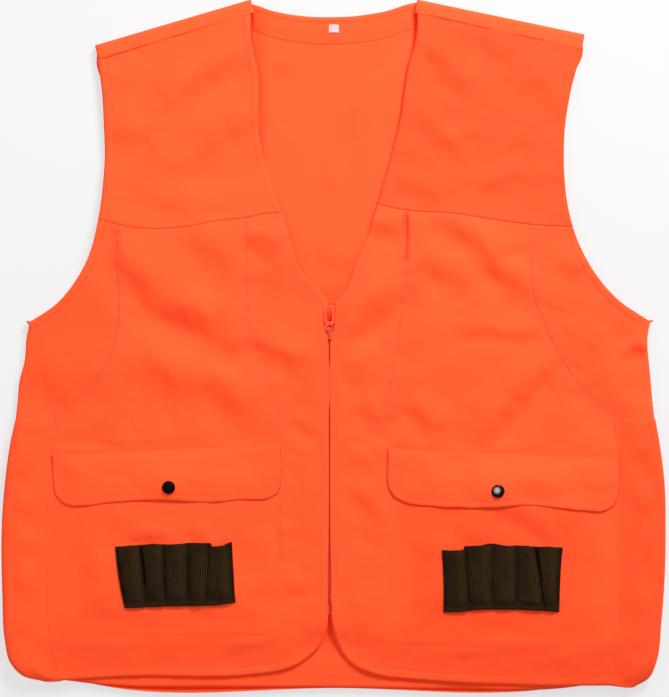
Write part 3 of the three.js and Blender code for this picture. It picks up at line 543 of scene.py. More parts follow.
def clothMaterial(name, look):
    # plain weave: two crossed fine waves bump; a slow mottle and the painted shade in the seam attribute darken the
    # colour
    mat = bpy.data.materials.new(name)
    mat.use_nodes = True
    tree = mat.node_tree
    shader = tree.nodes["Principled BSDF"]
    shader.inputs["Roughness"].default_value = look["roughness"]
    shader.inputs["Sheen Weight"].default_value = look["sheen"]
    shader.inputs["Sheen Roughness"].default_value = 0.5
    shader.inputs["Specular IOR Level"].default_value = look["specular"]
    shader.inputs["Emission Color"].default_value = (1.0, 0.05, 0.006, 1)  # a painted glow, the same in light and in shade, standing in for the fluorescent dye
    shader.inputs["Emission Strength"].default_value = look["glow"]
    coords = tree.nodes.new("ShaderNodeUVMap")
    coords.uv_map = "flat"
    mottle = tree.nodes.new("ShaderNodeTexNoise")
    mottle.inputs["Scale"].default_value = look["mottleScale"]
    mottle.inputs["Detail"].default_value = 4
    tree.links.new(coords.outputs["UV"], mottle.inputs["Vector"])
    ramp = tree.nodes.new("ShaderNodeMapRange")
    ramp.inputs["From Min"].default_value = 0.3
    ramp.inputs["From Max"].default_value = 0.7
    ramp.inputs["To Min"].default_value = 0.0
    ramp.inputs["To Max"].default_value = look["mottle"]
    tree.links.new(mottle.outputs["Fac"], ramp.inputs["Value"])
    # the seam attribute holds painted shade
    seam = tree.nodes.new("ShaderNodeAttribute")
    seam.attribute_name = "seam"
    both = tree.nodes.new("ShaderNodeMath")
    both.operation = "ADD"
    both.use_clamp = True
    tree.links.new(ramp.outputs["Result"], both.inputs[0])
    tree.links.new(seam.outputs["Fac"], both.inputs[1])
    mix = tree.nodes.new("ShaderNodeMix")
    mix.data_type = "RGBA"
    mix.inputs["A"].default_value = (*look["colour"], 1)
    mix.inputs["B"].default_value = (*look["dark"], 1)
    tree.links.new(both.outputs[0], mix.inputs["Factor"])
    tree.links.new(mix.outputs["Result"], shader.inputs["Base Color"])
    heights = []
    for direction in ("X", "Y"):
        wave = tree.nodes.new("ShaderNodeTexWave")
        wave.wave_type = "BANDS"
        wave.bands_direction = direction
        wave.inputs["Scale"].default_value = look["weave"][0 if direction == "X" else 1]
        wave.inputs["Distortion"].default_value = 0.6
        tree.links.new(coords.outputs["UV"], wave.inputs["Vector"])
        heights.append(wave)
    weave = tree.nodes.new("ShaderNodeMath")
    weave.operation = "MULTIPLY"
    tree.links.new(heights[0].outputs["Fac"], weave.inputs[0])
    tree.links.new(heights[1].outputs["Fac"], weave.inputs[1])
    bump = tree.nodes.new("ShaderNodeBump")
    bump.inputs["Strength"].default_value = look["bump"]
    bump.inputs["Distance"].default_value = 0.0003
    tree.links.new(weave.outputs[0], bump.inputs["Height"])
    tree.links.new(bump.outputs["Normal"], shader.inputs["Normal"])
    return mat


def hardMaterial(name, colour, roughness, metallic, coat=0.0):
    # one even colour, with a clear coat where it is enamelled
    mat = bpy.data.materials.new(name)
    mat.use_nodes = True
    shader = mat.node_tree.nodes["Principled BSDF"]
    setColour(shader, colour)
    shader.inputs["Roughness"].default_value = roughness
    shader.inputs["Metallic"].default_value = metallic
    shader.inputs["Coat Weight"].default_value = coat
    shader.inputs["Coat Roughness"].default_value = 0.08
    return mat


# dark is the colour that the painted shade and the mottle darken towards; glow is a painted glow standing in for the
# dye's fluorescence
shellLook = {
    "colour": (0.95, 0.077, 0.0176), "dark": (0.62, 0.014, 0.002), "roughness": 0.85, "sheen": 0.03,
    "specular": 0.16, "mottleScale": 9, "mottle": 0.03, "weave": (700, 700), "bump": 0.25, "glow": 0.13,
}
facingLook = dict(shellLook, colour=(0.90, 0.072, 0.015), mottle=0.05)
elasticLook = {
    "colour": (0.060, 0.030, 0.0115), "dark": (0.0036, 0.0022, 0.0008), "roughness": 0.85, "sheen": 0.0,
    "specular": 0.03, "mottleScale": 60, "mottle": 0.12, "weave": (900, 260), "bump": 0.8, "glow": 0.0,
}
labelLook = dict(shellLook, colour=(0.52, 0.40, 0.42), dark=(0.2, 0.1, 0.1), roughness=0.45, mottle=0.05, glow=0.0)
shellCloth = clothMaterial("blazeOrangeCloth", shellLook)
facingCloth = clothMaterial("facingCloth", facingLook)
elasticBand = clothMaterial("brownElastic", elasticLook)
labelSatin = clothMaterial("labelSatin", labelLook)
thread = hardMaterial("orangeThread", (0.80, 0.07, 0.022), 0.7, 0)
zipPlastic = hardMaterial("zipPlastic", (0.62, 0.045, 0.012), 0.4, 0)
zipEnamel = hardMaterial("zipEnamel", (0.80, 0.075, 0.025), 0.3, 0.1, 0.5)
capEnamel = hardMaterial("capEnamel", (0.002, 0.0016, 0.0014), 0.16, 0)
capEnamel.node_tree.nodes["Principled BSDF"].inputs["Specular IOR Level"].default_value = 0.16
wornEnamel = hardMaterial("wornEnamel", (0.002, 0.0014, 0.0012), 0.45, 0)
wornEnamel.node_tree.nodes["Principled BSDF"].inputs["Specular IOR Level"].default_value = 0.06
snapNickel = hardMaterial("snapNickel", (0.45, 0.43, 0.40), 0.28, 1)


def paintedCapHighlight(mat, spot, radius, rgb):
    # painted highlight: the colour turns a light lilac grey inside a soft-edged round spot, given in the object's
    # own metres
    tree = mat.node_tree
    coords = tree.nodes.new("ShaderNodeTexCoord")
    away = tree.nodes.new("ShaderNodeVectorMath")
    away.operation = "DISTANCE"
    away.inputs[1].default_value = spot
    tree.links.new(coords.outputs["Object"], away.inputs[0])
    fall = tree.nodes.new("ShaderNodeMapRange")
    fall.interpolation_type = "SMOOTHSTEP"
    fall.inputs["From Min"].default_value = 0.25 * radius
    fall.inputs["From Max"].default_value = radius
    fall.inputs["To Min"].default_value = 1.0
    fall.inputs["To Max"].default_value = 0.0
    tree.links.new(away.outputs["Value"], fall.inputs["Value"])
    mix = tree.nodes.new("ShaderNodeMix")
    mix.data_type = "RGBA"
    mix.inputs["A"].default_value = tree.nodes["Principled BSDF"].inputs["Base Color"].default_value
    mix.inputs["B"].default_value = (*rgb, 1)
    tree.links.new(fall.outputs["Result"], mix.inputs["Factor"])
    tree.links.new(mix.outputs["Result"], tree.nodes["Principled BSDF"].inputs["Base Color"])


print("materials made")

# fronts
# cloth gives each kind its thickness; the painted shade darkens a whole piece, from 0 to 1, deeper on the wearer's
# left where the light falls off
cloth = {"yoke": 1.3, "shell": 0.9, "bag": 0.8, "flap": 1.5, "binding": 0.6, "label": 0.35, "elastic": 1.0}
paintedShade = {"yokeLeft": 0.19, "yokeRight": 0.0, "bagLeft": 0.2, "bagRight": 0.04, "side": 0.04,
         "pocketLeft": 0.19, "pocketRight": 0.0, "lowerLeft": 0.18}
front = {"seamDown": (13.5, 15.0), "hemSplit": 28, "bagSeamIn": 44, "foldRows": 50, "foldOut": 6, "foldBack": 26}
for name, side in sides.items():
    own, flip = lines[name], faceUp(side)
    seam = own["yokeSeam"]
    # the V edge and armhole are split where the yoke seam meets them
    vCut = distanceTo(own["vEdge"][:, 0], own["vEdge"][:, 1], seam[:2])[0].argmin()
    armCut = distanceTo(own["armhole"][:, 0], own["armhole"][:, 1], seam[-2:])[0].argmin()
    seamIn, seamOut = own["vEdge"][vCut], own["armhole"][armCut]
    seam = curveThrough(np.concatenate([[seamIn], seam[2:-2:6], [seamOut]]), 96)
    own["yokeSeam"] = seam
    # yoke: from its seam up to the shoulder seam, which lies below the fold
    direction = own["shoulder"][1] - own["shoulder"][0]
    direction = direction / np.linalg.norm(direction)
    down = np.array([direction[1], -direction[0]]) * side
    drop = np.array(front["seamDown"])[:, None] * down
    shoulderSeam = own["shoulder"] + drop
    shoulderSeam[0, 0] = np.interp(shoulderSeam[0, 1], own["vEdge"][::-1, 1], own["vEdge"][::-1, 0])
    shoulderSeam[1, 0] = np.interp(shoulderSeam[1, 1], own["armhole"][::-1, 1], own["armhole"][::-1, 0])
    own["shoulderSeam"] = shoulderSeam
    vAbove = own["vEdge"][:vCut + 1][own["vEdge"][:vCut + 1, 1] < shoulderSeam[0, 1] - 2]
    armAbove = own["armhole"][:armCut + 1][own["armhole"][:armCut + 1, 1] < shoulderSeam[1, 1] - 2]
    plan = patch(
        seam,
        curveThrough(shoulderSeam, 96),
        curveThrough(np.concatenate([vAbove[::-1], shoulderSeam[:1]]), 110),
        curveThrough(np.concatenate([armAbove[::-1], shoulderSeam[1:]]), 110),
    )
    x, y = plan[..., 0], plan[..., 1]
    z = frontSurface(x, y, name) + 0.15
    d = distanceTo(x, y, shoulderSeam)[0]
    z = z - 0.5 * (1 - smoothStep(d / 4))
    # painted shade along the seams, the shoulder seam and the edges, darker over the wearer's left yoke
    marks = paintedShade["yoke" + name] + paintedSeamShade(x, y, [
        (seam, 1.0, 0.1), (shoulderSeam + [0, -2.2], 0.8, 0.15), (own["vEdge"], 1.0, 0.08),
        (own["armhole"], 1.0, 0.15),
    ])
    grid = np.dstack([x, y, z])
    yoke = makeMesh("frontYoke" + name, [flip(grid)], [flip(plan)], [flip(marks)], shellCloth)
    bendAtFold(yoke)
    addCloth(yoke, cloth["yoke"])
    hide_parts("front_yoke_" + name.lower())

    # panel: centre edge and V below the seam on one side, side seam and pocket gore on the other
    sideSeam = own["sideSeam"]
    k = np.abs(seam[:, 0] - sideSeam[0, 0]).argmin()
    down = np.array([-84, -110, -150, -200, -260, -310, -340, -350])
    across = np.interp(down, own["bag"][::-1, 1], own["bag"][::-1, 0]) - side * front["bagSeamIn"]
    gore = np.column_stack([across, down])
    gore[-1] = own["hem"][-1]
    gore[-2, 0] = own["hem"][-1, 0] + side
    outer = joined(
        curveThrough(np.concatenate([[seam[k]], sideSeam[1:-1:4], gore[:1]]), 110), curveThrough(gore, 130))
    hem, split = own["hem"], front["hemSplit"]
    inner = curveThrough(joined(own["vEdge"][vCut:], own["centre"], hem[:split]), len(outer))
    plan = patch(curveThrough(hem[split - 1:], 140), curveThrough(seam[:k + 1], 140), inner[::-1], outer[::-1])
    x, y = plan[..., 0], plan[..., 1]
    under = 1 - smoothStep(distanceTo(x, y, gore)[0] / 6)
    z = frontSurface(x, y, name) - 1.1 * under
    pleat = own["facing"][1:12] if name == "Left" else own["facing"][:2]
    # painted shade along the seams, hem, centre and V edge, and a strong painted shadow in the pleat
    marks = paintedSeamShade(x, y, [
        (seam, 1.1, 0.14), (own["facing"], 0.8, 0.16), (sideSeam, 0.9, 0.12), (own["hem"], 1.2, 0.3),
        (own["centre"], 0.9, 0.15), (own["vEdge"], 0.9, 0.04), (pleat, 2.2, 1.0 if name == "Left" else 0.25),
    ])
    if name == "Left":
        # painted shade over the lower outer part of the wearer's left front, where the light falls off
        marks = marks + paintedShade["lowerLeft"] * smoothStep((-110 - y) / 90) * smoothStep((x - 30) / 160)
    grid = np.dstack([x, y, z])
    panel = makeMesh("frontPanel" + name, [flip(grid)], [flip(plan)], [flip(marks)], shellCloth)
    bendAtFold(panel)
    addCloth(panel, cloth["shell"])
    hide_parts("front_panel_" + name.lower(), "front_edge_" + name.lower())

    # side panel: its front, then round the fold under the arm to the back
    armBelow = own["armhole"][armCut:]
    top = seam[k:]
    edgeUp, edgeDown = curveThrough(armBelow, 60), curveThrough(own["side"], 50)
    inset = edgeDown - [side * front["foldOut"], 0]
    edge = joined(edgeUp[:-1], inset)
    seamDown = curveThrough(np.concatenate([[seam[k]], sideSeam[1:-1:4], gore[:1]]), len(edge))
    plan = patch(
        curveThrough([seamDown[-1], edge[-1]], 60), curveThrough(top, 60), seamDown[::-1], edge[::-1])
    x, y = plan[..., 0], plan[..., 1]
    z = frontSurface(x, y, name)
    # painted shade along the seams and armhole, and a little over the whole piece
    marks = paintedSeamShade(x, y, [(seam, 1.1, 0.14), (sideSeam, 0.9, 0.1), (own["armhole"], 0.9, 0.15)]) + paintedShade["side"]
    frontGrid = np.dstack([x, y, z])
    rows = front["foldRows"]
    edgePoints, edgeHeights = plan[:rows, -1], z[:rows, -1]
    turn = np.linspace(0, np.pi, 18)[None, :]
    backZ = 0.3 + (level["bag"] - 1.0) * smoothStep((-56 - edgePoints[:, 1]) / 22)
    middle, half = (edgeHeights + backZ) / 2, (edgeHeights - backZ) / 2
    foldX = edgePoints[:, :1] + side * front["foldOut"] * np.sin(turn)
    foldZ = middle[:, None] + half[:, None] * np.cos(turn)
    foldGrid = np.dstack([foldX, np.repeat(edgePoints[:, 1:], 18, 1), foldZ])
    backX = edgePoints[:, :1] - side * np.linspace(0, front["foldBack"], 10)[None, 1:]
    backGrid = np.dstack([backX, np.repeat(edgePoints[:, 1:], 9, 1), np.repeat(backZ[:, None], 9, 1)])
    fold = np.concatenate([foldGrid, backGrid], 1)
    walk = np.cumsum(np.linalg.norm(np.diff(fold, axis=1, prepend=fold[:, :1]), axis=2), axis=1)
    foldFlat = np.dstack([edgePoints[:, :1] + side * walk, fold[..., 1]])
    panelSide = makeMesh("sidePanel" + name, [flip(frontGrid), flip(fold)], [flip(plan), flip(foldFlat)],
                         [flip(marks), flip(np.zeros(fold.shape[:2]))], shellCloth, weld=True)
    addCloth(panelSide, cloth["shell"])
    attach(panelSide, "vest")
    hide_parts("side_panel_" + name.lower(), "underarm_fold_" + name.lower())
print("fronts made")

# game bag sides: front flange, round edge, back flange
bagSide = {"reach": 9.0, "top": 20.3, "low": 0.35, "seamIn": 50.0}
for name, side in sides.items():
    own = lines[name]
    edge = curveThrough(own["bag"], 120)
    flangeIn = bagSide["seamIn"]
    along = np.linspace(0, 1, 120)
    pinch = 1 - 0.42 * smoothStep((along - 0.86) / 0.14)
    seamX = np.interp(edge[:, 1], own["bag"][::-1, 1], own["bag"][::-1, 0]) - side * flangeIn
    corner = smoothStep((-318 - edge[:, 1]) / 42)
    seamX = seamX * (1 - corner) + side * 290 * corner
    t = np.linspace(0, 1, 30)[None, :]
    lineX = edge[:, :1] - side * bagSide["reach"]
    frontX = seamX[:, None] * (1 - t) + lineX * t
    toHem = smoothStep((along - 0.82) / 0.18)[:, None] * (own["hem"][-1, 1] - edge[-1, 1])
    frontY = np.repeat(edge[:, 1:], 30, 1) + toHem * (1 - t)
    relief = creaseHeight(frontX, frontY, ["bag" + name]) + 0.5 * ripple(frontX, frontY, 60, 20 + side)
    fade = smoothStep((1 - t) / 0.15)
    rise = bagSide["top"] * pinch[:, None]
    frontZ = rise + relief * fade * pinch[:, None]
    seamZ = frontSurface(frontX, frontY, name) - 1.2 + 1.15 * smoothStep(t / 0.15)
    frontZ = seamZ + (frontZ - seamZ) * smoothStep((t - 0.14) / 0.5)
    turn = np.linspace(0, np.pi, 20)[None, 1:]
    foldX = lineX + side * bagSide["reach"] * np.sin(turn)
    half = (rise - bagSide["low"]) / 2
    frontZ = frontZ - 0.9 * (1 - smoothStep(along / 0.03))[:, None]
    foldZ = bagSide["low"] + half + half * np.cos(turn)
    backT = np.linspace(0, 1, 12)[None, 1:]
    backX = lineX * (1 - backT) + seamX[:, None] * backT
    backZ = bagSide["low"] + 0 * backX
    backY = edge[:, 1:] + smoothStep((along - 0.8) / 0.2)[:, None] * (-352 - edge[-1, 1]) * backT
    grid = np.dstack([
        np.concatenate([frontX, foldX, backX], 1),
        np.concatenate([frontY, np.repeat(edge[:, 1:], 19, 1), backY], 1),
        np.concatenate([frontZ, foldZ, backZ], 1),
    ])[::-1]
    walk = np.cumsum(np.linalg.norm(np.diff(grid, axis=1, prepend=grid[:, :1]), axis=2), axis=1)
    flat = np.dstack([side * walk, np.repeat(np.linspace(-285, 0, 120)[:, None], grid.shape[1], 1)])
    seamLine = np.column_stack([seamX, edge[:, 1]])
    # painted shade along the seam and the edge, darker over the wearer's left bag side
    marks = paintedSeamShade(grid[..., 0], grid[..., 1], [(seamLine, 1.0, 0.05), (edge, 0.8, 0.12)]) + paintedShade["bag" + name]
    flip = faceUp(side)
    gore = makeMesh("gameBagSide" + name, [flip(grid)], [flip(flat)], [flip(marks)], shellCloth)
    addCloth(gore, cloth["shell"])
    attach(gore, "vest")
    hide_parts("game_bag_side_" + name.lower(), "side_fold_" + name.lower())
print("game bag sides made")

# back
backNeck = curveThrough([[-89, 363], [-80, 359.8], [-72, 356.4], [-52, 351.4], [-25, 348.2], [0, 347.8], [18, 348.6],
                         [36, 350.8], [56, 354.6], [73, 360.4], [80, 362.6], [88, 364.5]], 90)


def backRelief(x, y):
    # the back's creases plus a soft ripple
    return creaseHeight(x, y, ["back"]) + 0.55 * ripple(x, y, 120, 31)


leftSide, rightSide = lines["Left"], lines["Right"]
yokeRow = 44.0


def cutAt(line, y):
    # the part of a falling line below a height, started exactly at it
    x = np.interp(y, line[::-1, 1], line[::-1, 0])
    return np.concatenate([[[x, y]], line[line[:, 1] < y - 1]])


edgeRight = joined(cutAt(rightSide["armhole"], yokeRow), rightSide["side"] + [22, 0])
edgeLeft = joined(cutAt(leftSide["armhole"], yokeRow), leftSide["side"] - [22, 0])
for edge in (edgeRight, edgeLeft):
    edge[-1, 1] = -80
lower = [[-300, -84], [-302, -200], [-300, -310], [-286, -352]]
lowerLeft = [[300, -84], [302, -200], [299, -310], [286, -354]]
panelLeftEdge = curveThrough(joined(curveThrough(edgeRight, 40), np.array([edgeRight[-1]] + lower)), 200)
panelRightEdge = curveThrough(joined(curveThrough(edgeLeft, 40), np.array([edgeLeft[-1]] + lowerLeft)), 200)
hemBack = curveThrough(
    [[-286, -352], [-240, -357.5], [-120, -359.5], [0, -360], [120, -361.5], [240, -360.5], [286, -354]], 150)
topBack = curveThrough([panelLeftEdge[0], panelRightEdge[0]], 150)
plan = patch(hemBack, topBack, panelLeftEdge[::-1], panelRightEdge[::-1])
x, y = plan[..., 0], plan[..., 1]
z = backLevel(x, y) + np.maximum(backRelief(x, y) * smoothStep((y + 60) / 40), -0.1)
d = distanceTo(x, y, hemBack)[0]
z = z + hemShape(d, 9.0) * (d < 14)
# painted shade along the back's hem, and darker towards its bottom edge: painted shadow under the fronts' hems
marks = paintedSeamShade(x, y, [(hemBack, 1.5, 0.4)]) + 0.12 * smoothStep((-330 - y) / 10)
backPanel = makeMesh("backPanel", [np.dstack([x, y, z])], [plan], [marks], shellCloth)
addCloth(backPanel, cloth["shell"])
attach(backPanel, "vest")
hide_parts("back_panel")

# back yoke: the middle to the neck's edge, and each shoulder over its fold to the front seam
middleBottom = curveThrough([[-88, yokeRow], [88, yokeRow]], 90)
plan = patch(middleBottom, backNeck, curveThrough([[-88, yokeRow], backNeck[0]], 150),
             curveThrough([[88, yokeRow], backNeck[-1]], 150))
x, y = plan[..., 0], plan[..., 1]
z = backLevel(x, y) + np.maximum(backRelief(x, y), -0.1)
d, _, share = distanceTo(x, y, backNeck)
z = z + hemShape(d, 6.5) * (d < 12) + pucker(d, share, 190, 6.5) * (d < 18)
marks = paintedSeamShade(x, y, [(backNeck, 1.2, 0.35)])
yokeGrids, yokeFlats, yokeMarks = [np.dstack([x, y, z])], [plan], [marks]
shoulder = {"thick": 10.1, "turnIn": 7.0, "columns": 60, "rows": 100, "seamDown": 15.2}
for name, side in sides.items():
    own = lines[name]
    u = np.linspace(0, 1, shoulder["columns"])[None, :]
    ridge = own["shoulder"][0] + (own["shoulder"][1] - own["shoulder"][0]) * u[0][:, None]
    direction = (ridge[-1] - ridge[0]) / np.linalg.norm(ridge[-1] - ridge[0])
    down = np.array([direction[1], -direction[0]]) * side
    armX = np.interp(yokeRow, own["armhole"][::-1, 1], own["armhole"][::-1, 0])
    base = np.column_stack([side * 88 + (armX - side * 88) * u[0], yokeRow + 0 * u[0]])
    flatTop = ridge + down * shoulder["turnIn"]
    v = np.linspace(0, 1, shoulder["rows"])[:, None, None]
    sheet = base[None] * (1 - v) + flatTop[None] * v
    bow = np.interp(sheet[:, -1, 1], own["armhole"][::-1, 1], own["armhole"][::-1, 0]) - sheet[:, -1, 0]
    sheet[..., 0] += bow[:, None] * u * smoothStep((1 - v[..., 0]) / 0.12)
    swell = np.maximum(0.5 * ripple(sheet[..., 0], sheet[..., 1], 90, 40 + side), 0)
    sheetZ = 0.25 + swell * np.sin(np.pi * v[..., 0])
    turn = np.linspace(0, np.pi, 18)[1:, None]
    half = shoulder["thick"] / 2 - 0.1
    arc = flatTop[None] - down[None, None] * (shoulder["turnIn"] * np.sin(turn))[..., None]
    arcZ = 0.25 + half - half * np.cos(turn) + 0 * u
    seamTo = ridge + down * (shoulder["seamDown"] + 1.5 * u[0][:, None])
    w = np.linspace(0, 1, 6)[1:, None, None]
    tail = flatTop[None] * (1 - w) + seamTo[None] * w
    tailZ = 0.25 + 2 * half + 0.85 * w[..., 0] - 0.35 * w[..., 0] ** 6 + 0 * u
    rows = np.concatenate([sheet, arc, tail])
    grid = np.dstack([rows, np.concatenate([sheetZ, arcZ, tailZ])])
    walk = np.cumsum(np.linalg.norm(np.diff(grid, axis=0, prepend=grid[:1]), axis=2), axis=0)
    flat = np.dstack([grid[..., 0], yokeRow + walk])
    marks = paintedSeamShade(grid[..., 0], grid[..., 1], [(np.array([base[0], base[-1]]), 1.0, 0.4)]) * (grid[..., 2] < 5)
    flip = faceUp(-side)
    yokeGrids.append(flip(grid))
    yokeFlats.append(flip(flat))
    yokeMarks.append(flip(marks))
yokeMiddle = makeMesh("backYokeMiddle", yokeGrids[:1], yokeFlats[:1], yokeMarks[:1], shellCloth)
addCloth(yokeMiddle, cloth["shell"])
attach(yokeMiddle, "vest")
for k, name in enumerate(sides):
    one = slice(k + 1, k + 2)
    yokeShoulder = makeMesh("backYoke" + name, yokeGrids[one], yokeFlats[one], yokeMarks[one], shellCloth)
    addCloth(yokeShoulder, cloth["shell"])
    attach(yokeShoulder, "vest")
    if name == "Left":
        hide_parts("back_yoke")

# game bag's back, on the table, with its lower edge turned up to the hem
bagTop = -79.0
bagEdge = [[302, bagTop], [304, -140], [305, -200], [304, -260], [300, -311], [284, -350]]
rightEdge = curveThrough(bagEdge, 90)
leftEdge = rightEdge * [-1, 1]
hemBag = curveThrough([[-284, -350], [-240, -359], [0, -360.5], [240, -359], [284, -350]], 140)
plan = patch(hemBag, curveThrough([[-302, bagTop], [302, bagTop]], 140), leftEdge[::-1], rightEdge[::-1])
x, y = plan[..., 0], plan[..., 1]
d = distanceTo(x, y, hemBag)[0]
z = 0.25 + 0.5 * np.maximum(ripple(x, y, 110, 51), 0) * smoothStep(d / 30) + 5.6 * np.clip(1 - d / 3.2, 0, 1) ** 2
z = z + 0.5 * np.exp(-((bagTop - y - 12) ** 2))
marks = paintedSeamShade(x, y, [(hemBag, 1.5, 0.3), (np.array([[-302, bagTop - 12], [302, bagTop - 12]]), 0.9, 0.4)])
bagBack = makeMesh("gameBagBack", [turned(np.dstack([x, y, z]))], [turned(plan)], [turned(marks)], shellCloth)
addCloth(bagBack, cloth["bag"])
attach(bagBack, "vest")
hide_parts("game_bag_back")
print("back made")

# facings, bindings and label
facing = {"gap": 1.7, "thick": 0.7, "lowerRun": [(42, -100), (34, -140), (29, -200), (30, -290), (44, -322)]}
binding = {"in": 0.8, "width": 10.5, "length": 300, "gap": {"Front": -1.7, "Back": 1.1}}
for name, side in sides.items():
    own = lines[name]
    v = own["vEdge"][own["vEdge"][:, 1] < 344]
    rim = joined(v, own["centre"], own["hem"][:20])
    back = 2.0 + 4.6 * smoothStep((70 - rim[:, 1]) / 26)  # set back from the slider
    innerEdge = curveThrough(rim + np.column_stack([side * back, 0 * back]), 150)
    facingLine = own["facing"][(own["facing"][:, 1] < 136) & (own["facing"][:, 1] > -60)]
    lowerRun = [[zipX + side * out, down] for out, down in facing["lowerRun"]]
    outerEdge = curveThrough(
        np.concatenate([onSide(side, [[101, 345], [98, 240]]), facingLine[::6], lowerRun]), 150)
    plan = patch(curveThrough([innerEdge[-1], outerEdge[-1]], 26), curveThrough([innerEdge[0], outerEdge[0]], 26),
                 innerEdge[::-1], outerEdge[::-1])
    x, y = plan[..., 0], plan[..., 1]
    under = 2.2 * smoothStep((60 - y) / 30)
    z = frontSurface(x, y, name, hems=False) - facing["gap"] - under + 0.2 * ripple(x, y, 40, 60)
    flip = faceUp(side)
    piece = makeMesh("frontFacing" + name, [flip(np.dstack([x, y, z]))], [flip(plan)], None, facingCloth)
    bendAtFold(piece)
    addCloth(piece, facing["thick"])
    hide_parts("front_facing_" + name.lower(), "edge_facing_" + name.lower())

    arm = own["armhole"]
    rim = arm[(arm[:, 1] > 34) & (arm[:, 1] < 296)]
    run = np.gradient(rim, axis=0)
    run = run / np.linalg.norm(run, axis=1)[:, None]
    inward = np.column_stack([run[:, 1], -run[:, 0]]) * side
    if (inward[:, 0] * side).mean() > 0:
        inward = -inward
    for place in ("Front", "Back"):
        t = np.linspace(0, 1, 7)[:, None, None]
        plan = rim[None] + inward[None] * (binding["in"] + binding["width"] * t)
        x, y = plan[..., 0], plan[..., 1]
        if place == "Front":
            z = frontSurface(x, y, name, hems=False) + binding["gap"][place]
        else:
            z = backLevel(x, y) + np.maximum(backRelief(x, y), -0.1) + binding["gap"][place]
        z = z - 0.3 * np.abs(2 * t[..., 0] - 1) ** 3
        along = np.linspace(0, binding["length"], plan.shape[1])[None, :]
        flat = np.dstack([along + 0 * x, binding["width"] * t[..., 0] + 0 * x])
        grid = np.dstack([x, y, z])
        up = np.cross(grid[1, 5] - grid[0, 5], grid[0, 6] - grid[0, 5])[2] < 0
        flip = faceUp(1 if up else -1)
        piece = makeMesh("armholeBinding" + place + name, [flip(grid)], [flip(flat)], None, facingCloth)
        addCloth(piece, cloth["binding"])
        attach(piece, "vest")
        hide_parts("armhole_binding_" + place.lower() + "_" + name.lower())

lowNeck = backNeck * [0.97, 1] - [0, 29]
topNeck = backNeck * [0.985, 1] - [0, 1.5]
neckEnds = [curveThrough([lowNeck[end], topNeck[end]], 18) for end in (0, -1)]
plan = patch(lowNeck, topNeck, *neckEnds)
x, y = plan[..., 0], plan[..., 1]
z = backLevel(x, y) + np.maximum(backRelief(x, y), -0.1) + 1.25
d, _, share = distanceTo(x, y, backNeck)
z = z + hemShape(d, 6.5) * (d < 12) * 0.8 + pucker(d, share, 190, 6.5)
d = distanceTo(x, y, lowNeck)[0]
z = z - 1.15 * (1 - smoothStep(d / 14))
marks = paintedSeamShade(x, y, [(backNeck - [0, 6.5], 0.8, 0.2)])
neckFacing = makeMesh("neckFacing", [np.dstack([x, y, z])], [plan], [marks], shellCloth)
addCloth(neckFacing, cloth["bag"])
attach(neckFacing, "vest")
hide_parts("neck_facing")

label = {"middle": (-1.2, 335.0), "size": (10.5, 8.6)}
u, v = np.meshgrid(np.linspace(-0.5, 0.5, 16), np.linspace(-0.5, 0.5, 14))
x = label["middle"][0] + u * label["size"][0]
y = label["middle"][1] + v * label["size"][1] + 0.25 * np.cos(u * 5)
z = backLevel(x, y) + 1.9 + 0.4 * (0.5 - v) ** 2 + 0.2 * np.cos(u * 6)
tag = makeMesh("sizeLabel", [np.dstack([x, y, z])], [np.dstack([x, y])], None, labelSatin)
addCloth(tag, cloth["label"])
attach(tag, "vest")
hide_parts("size_label")
print("facings made")

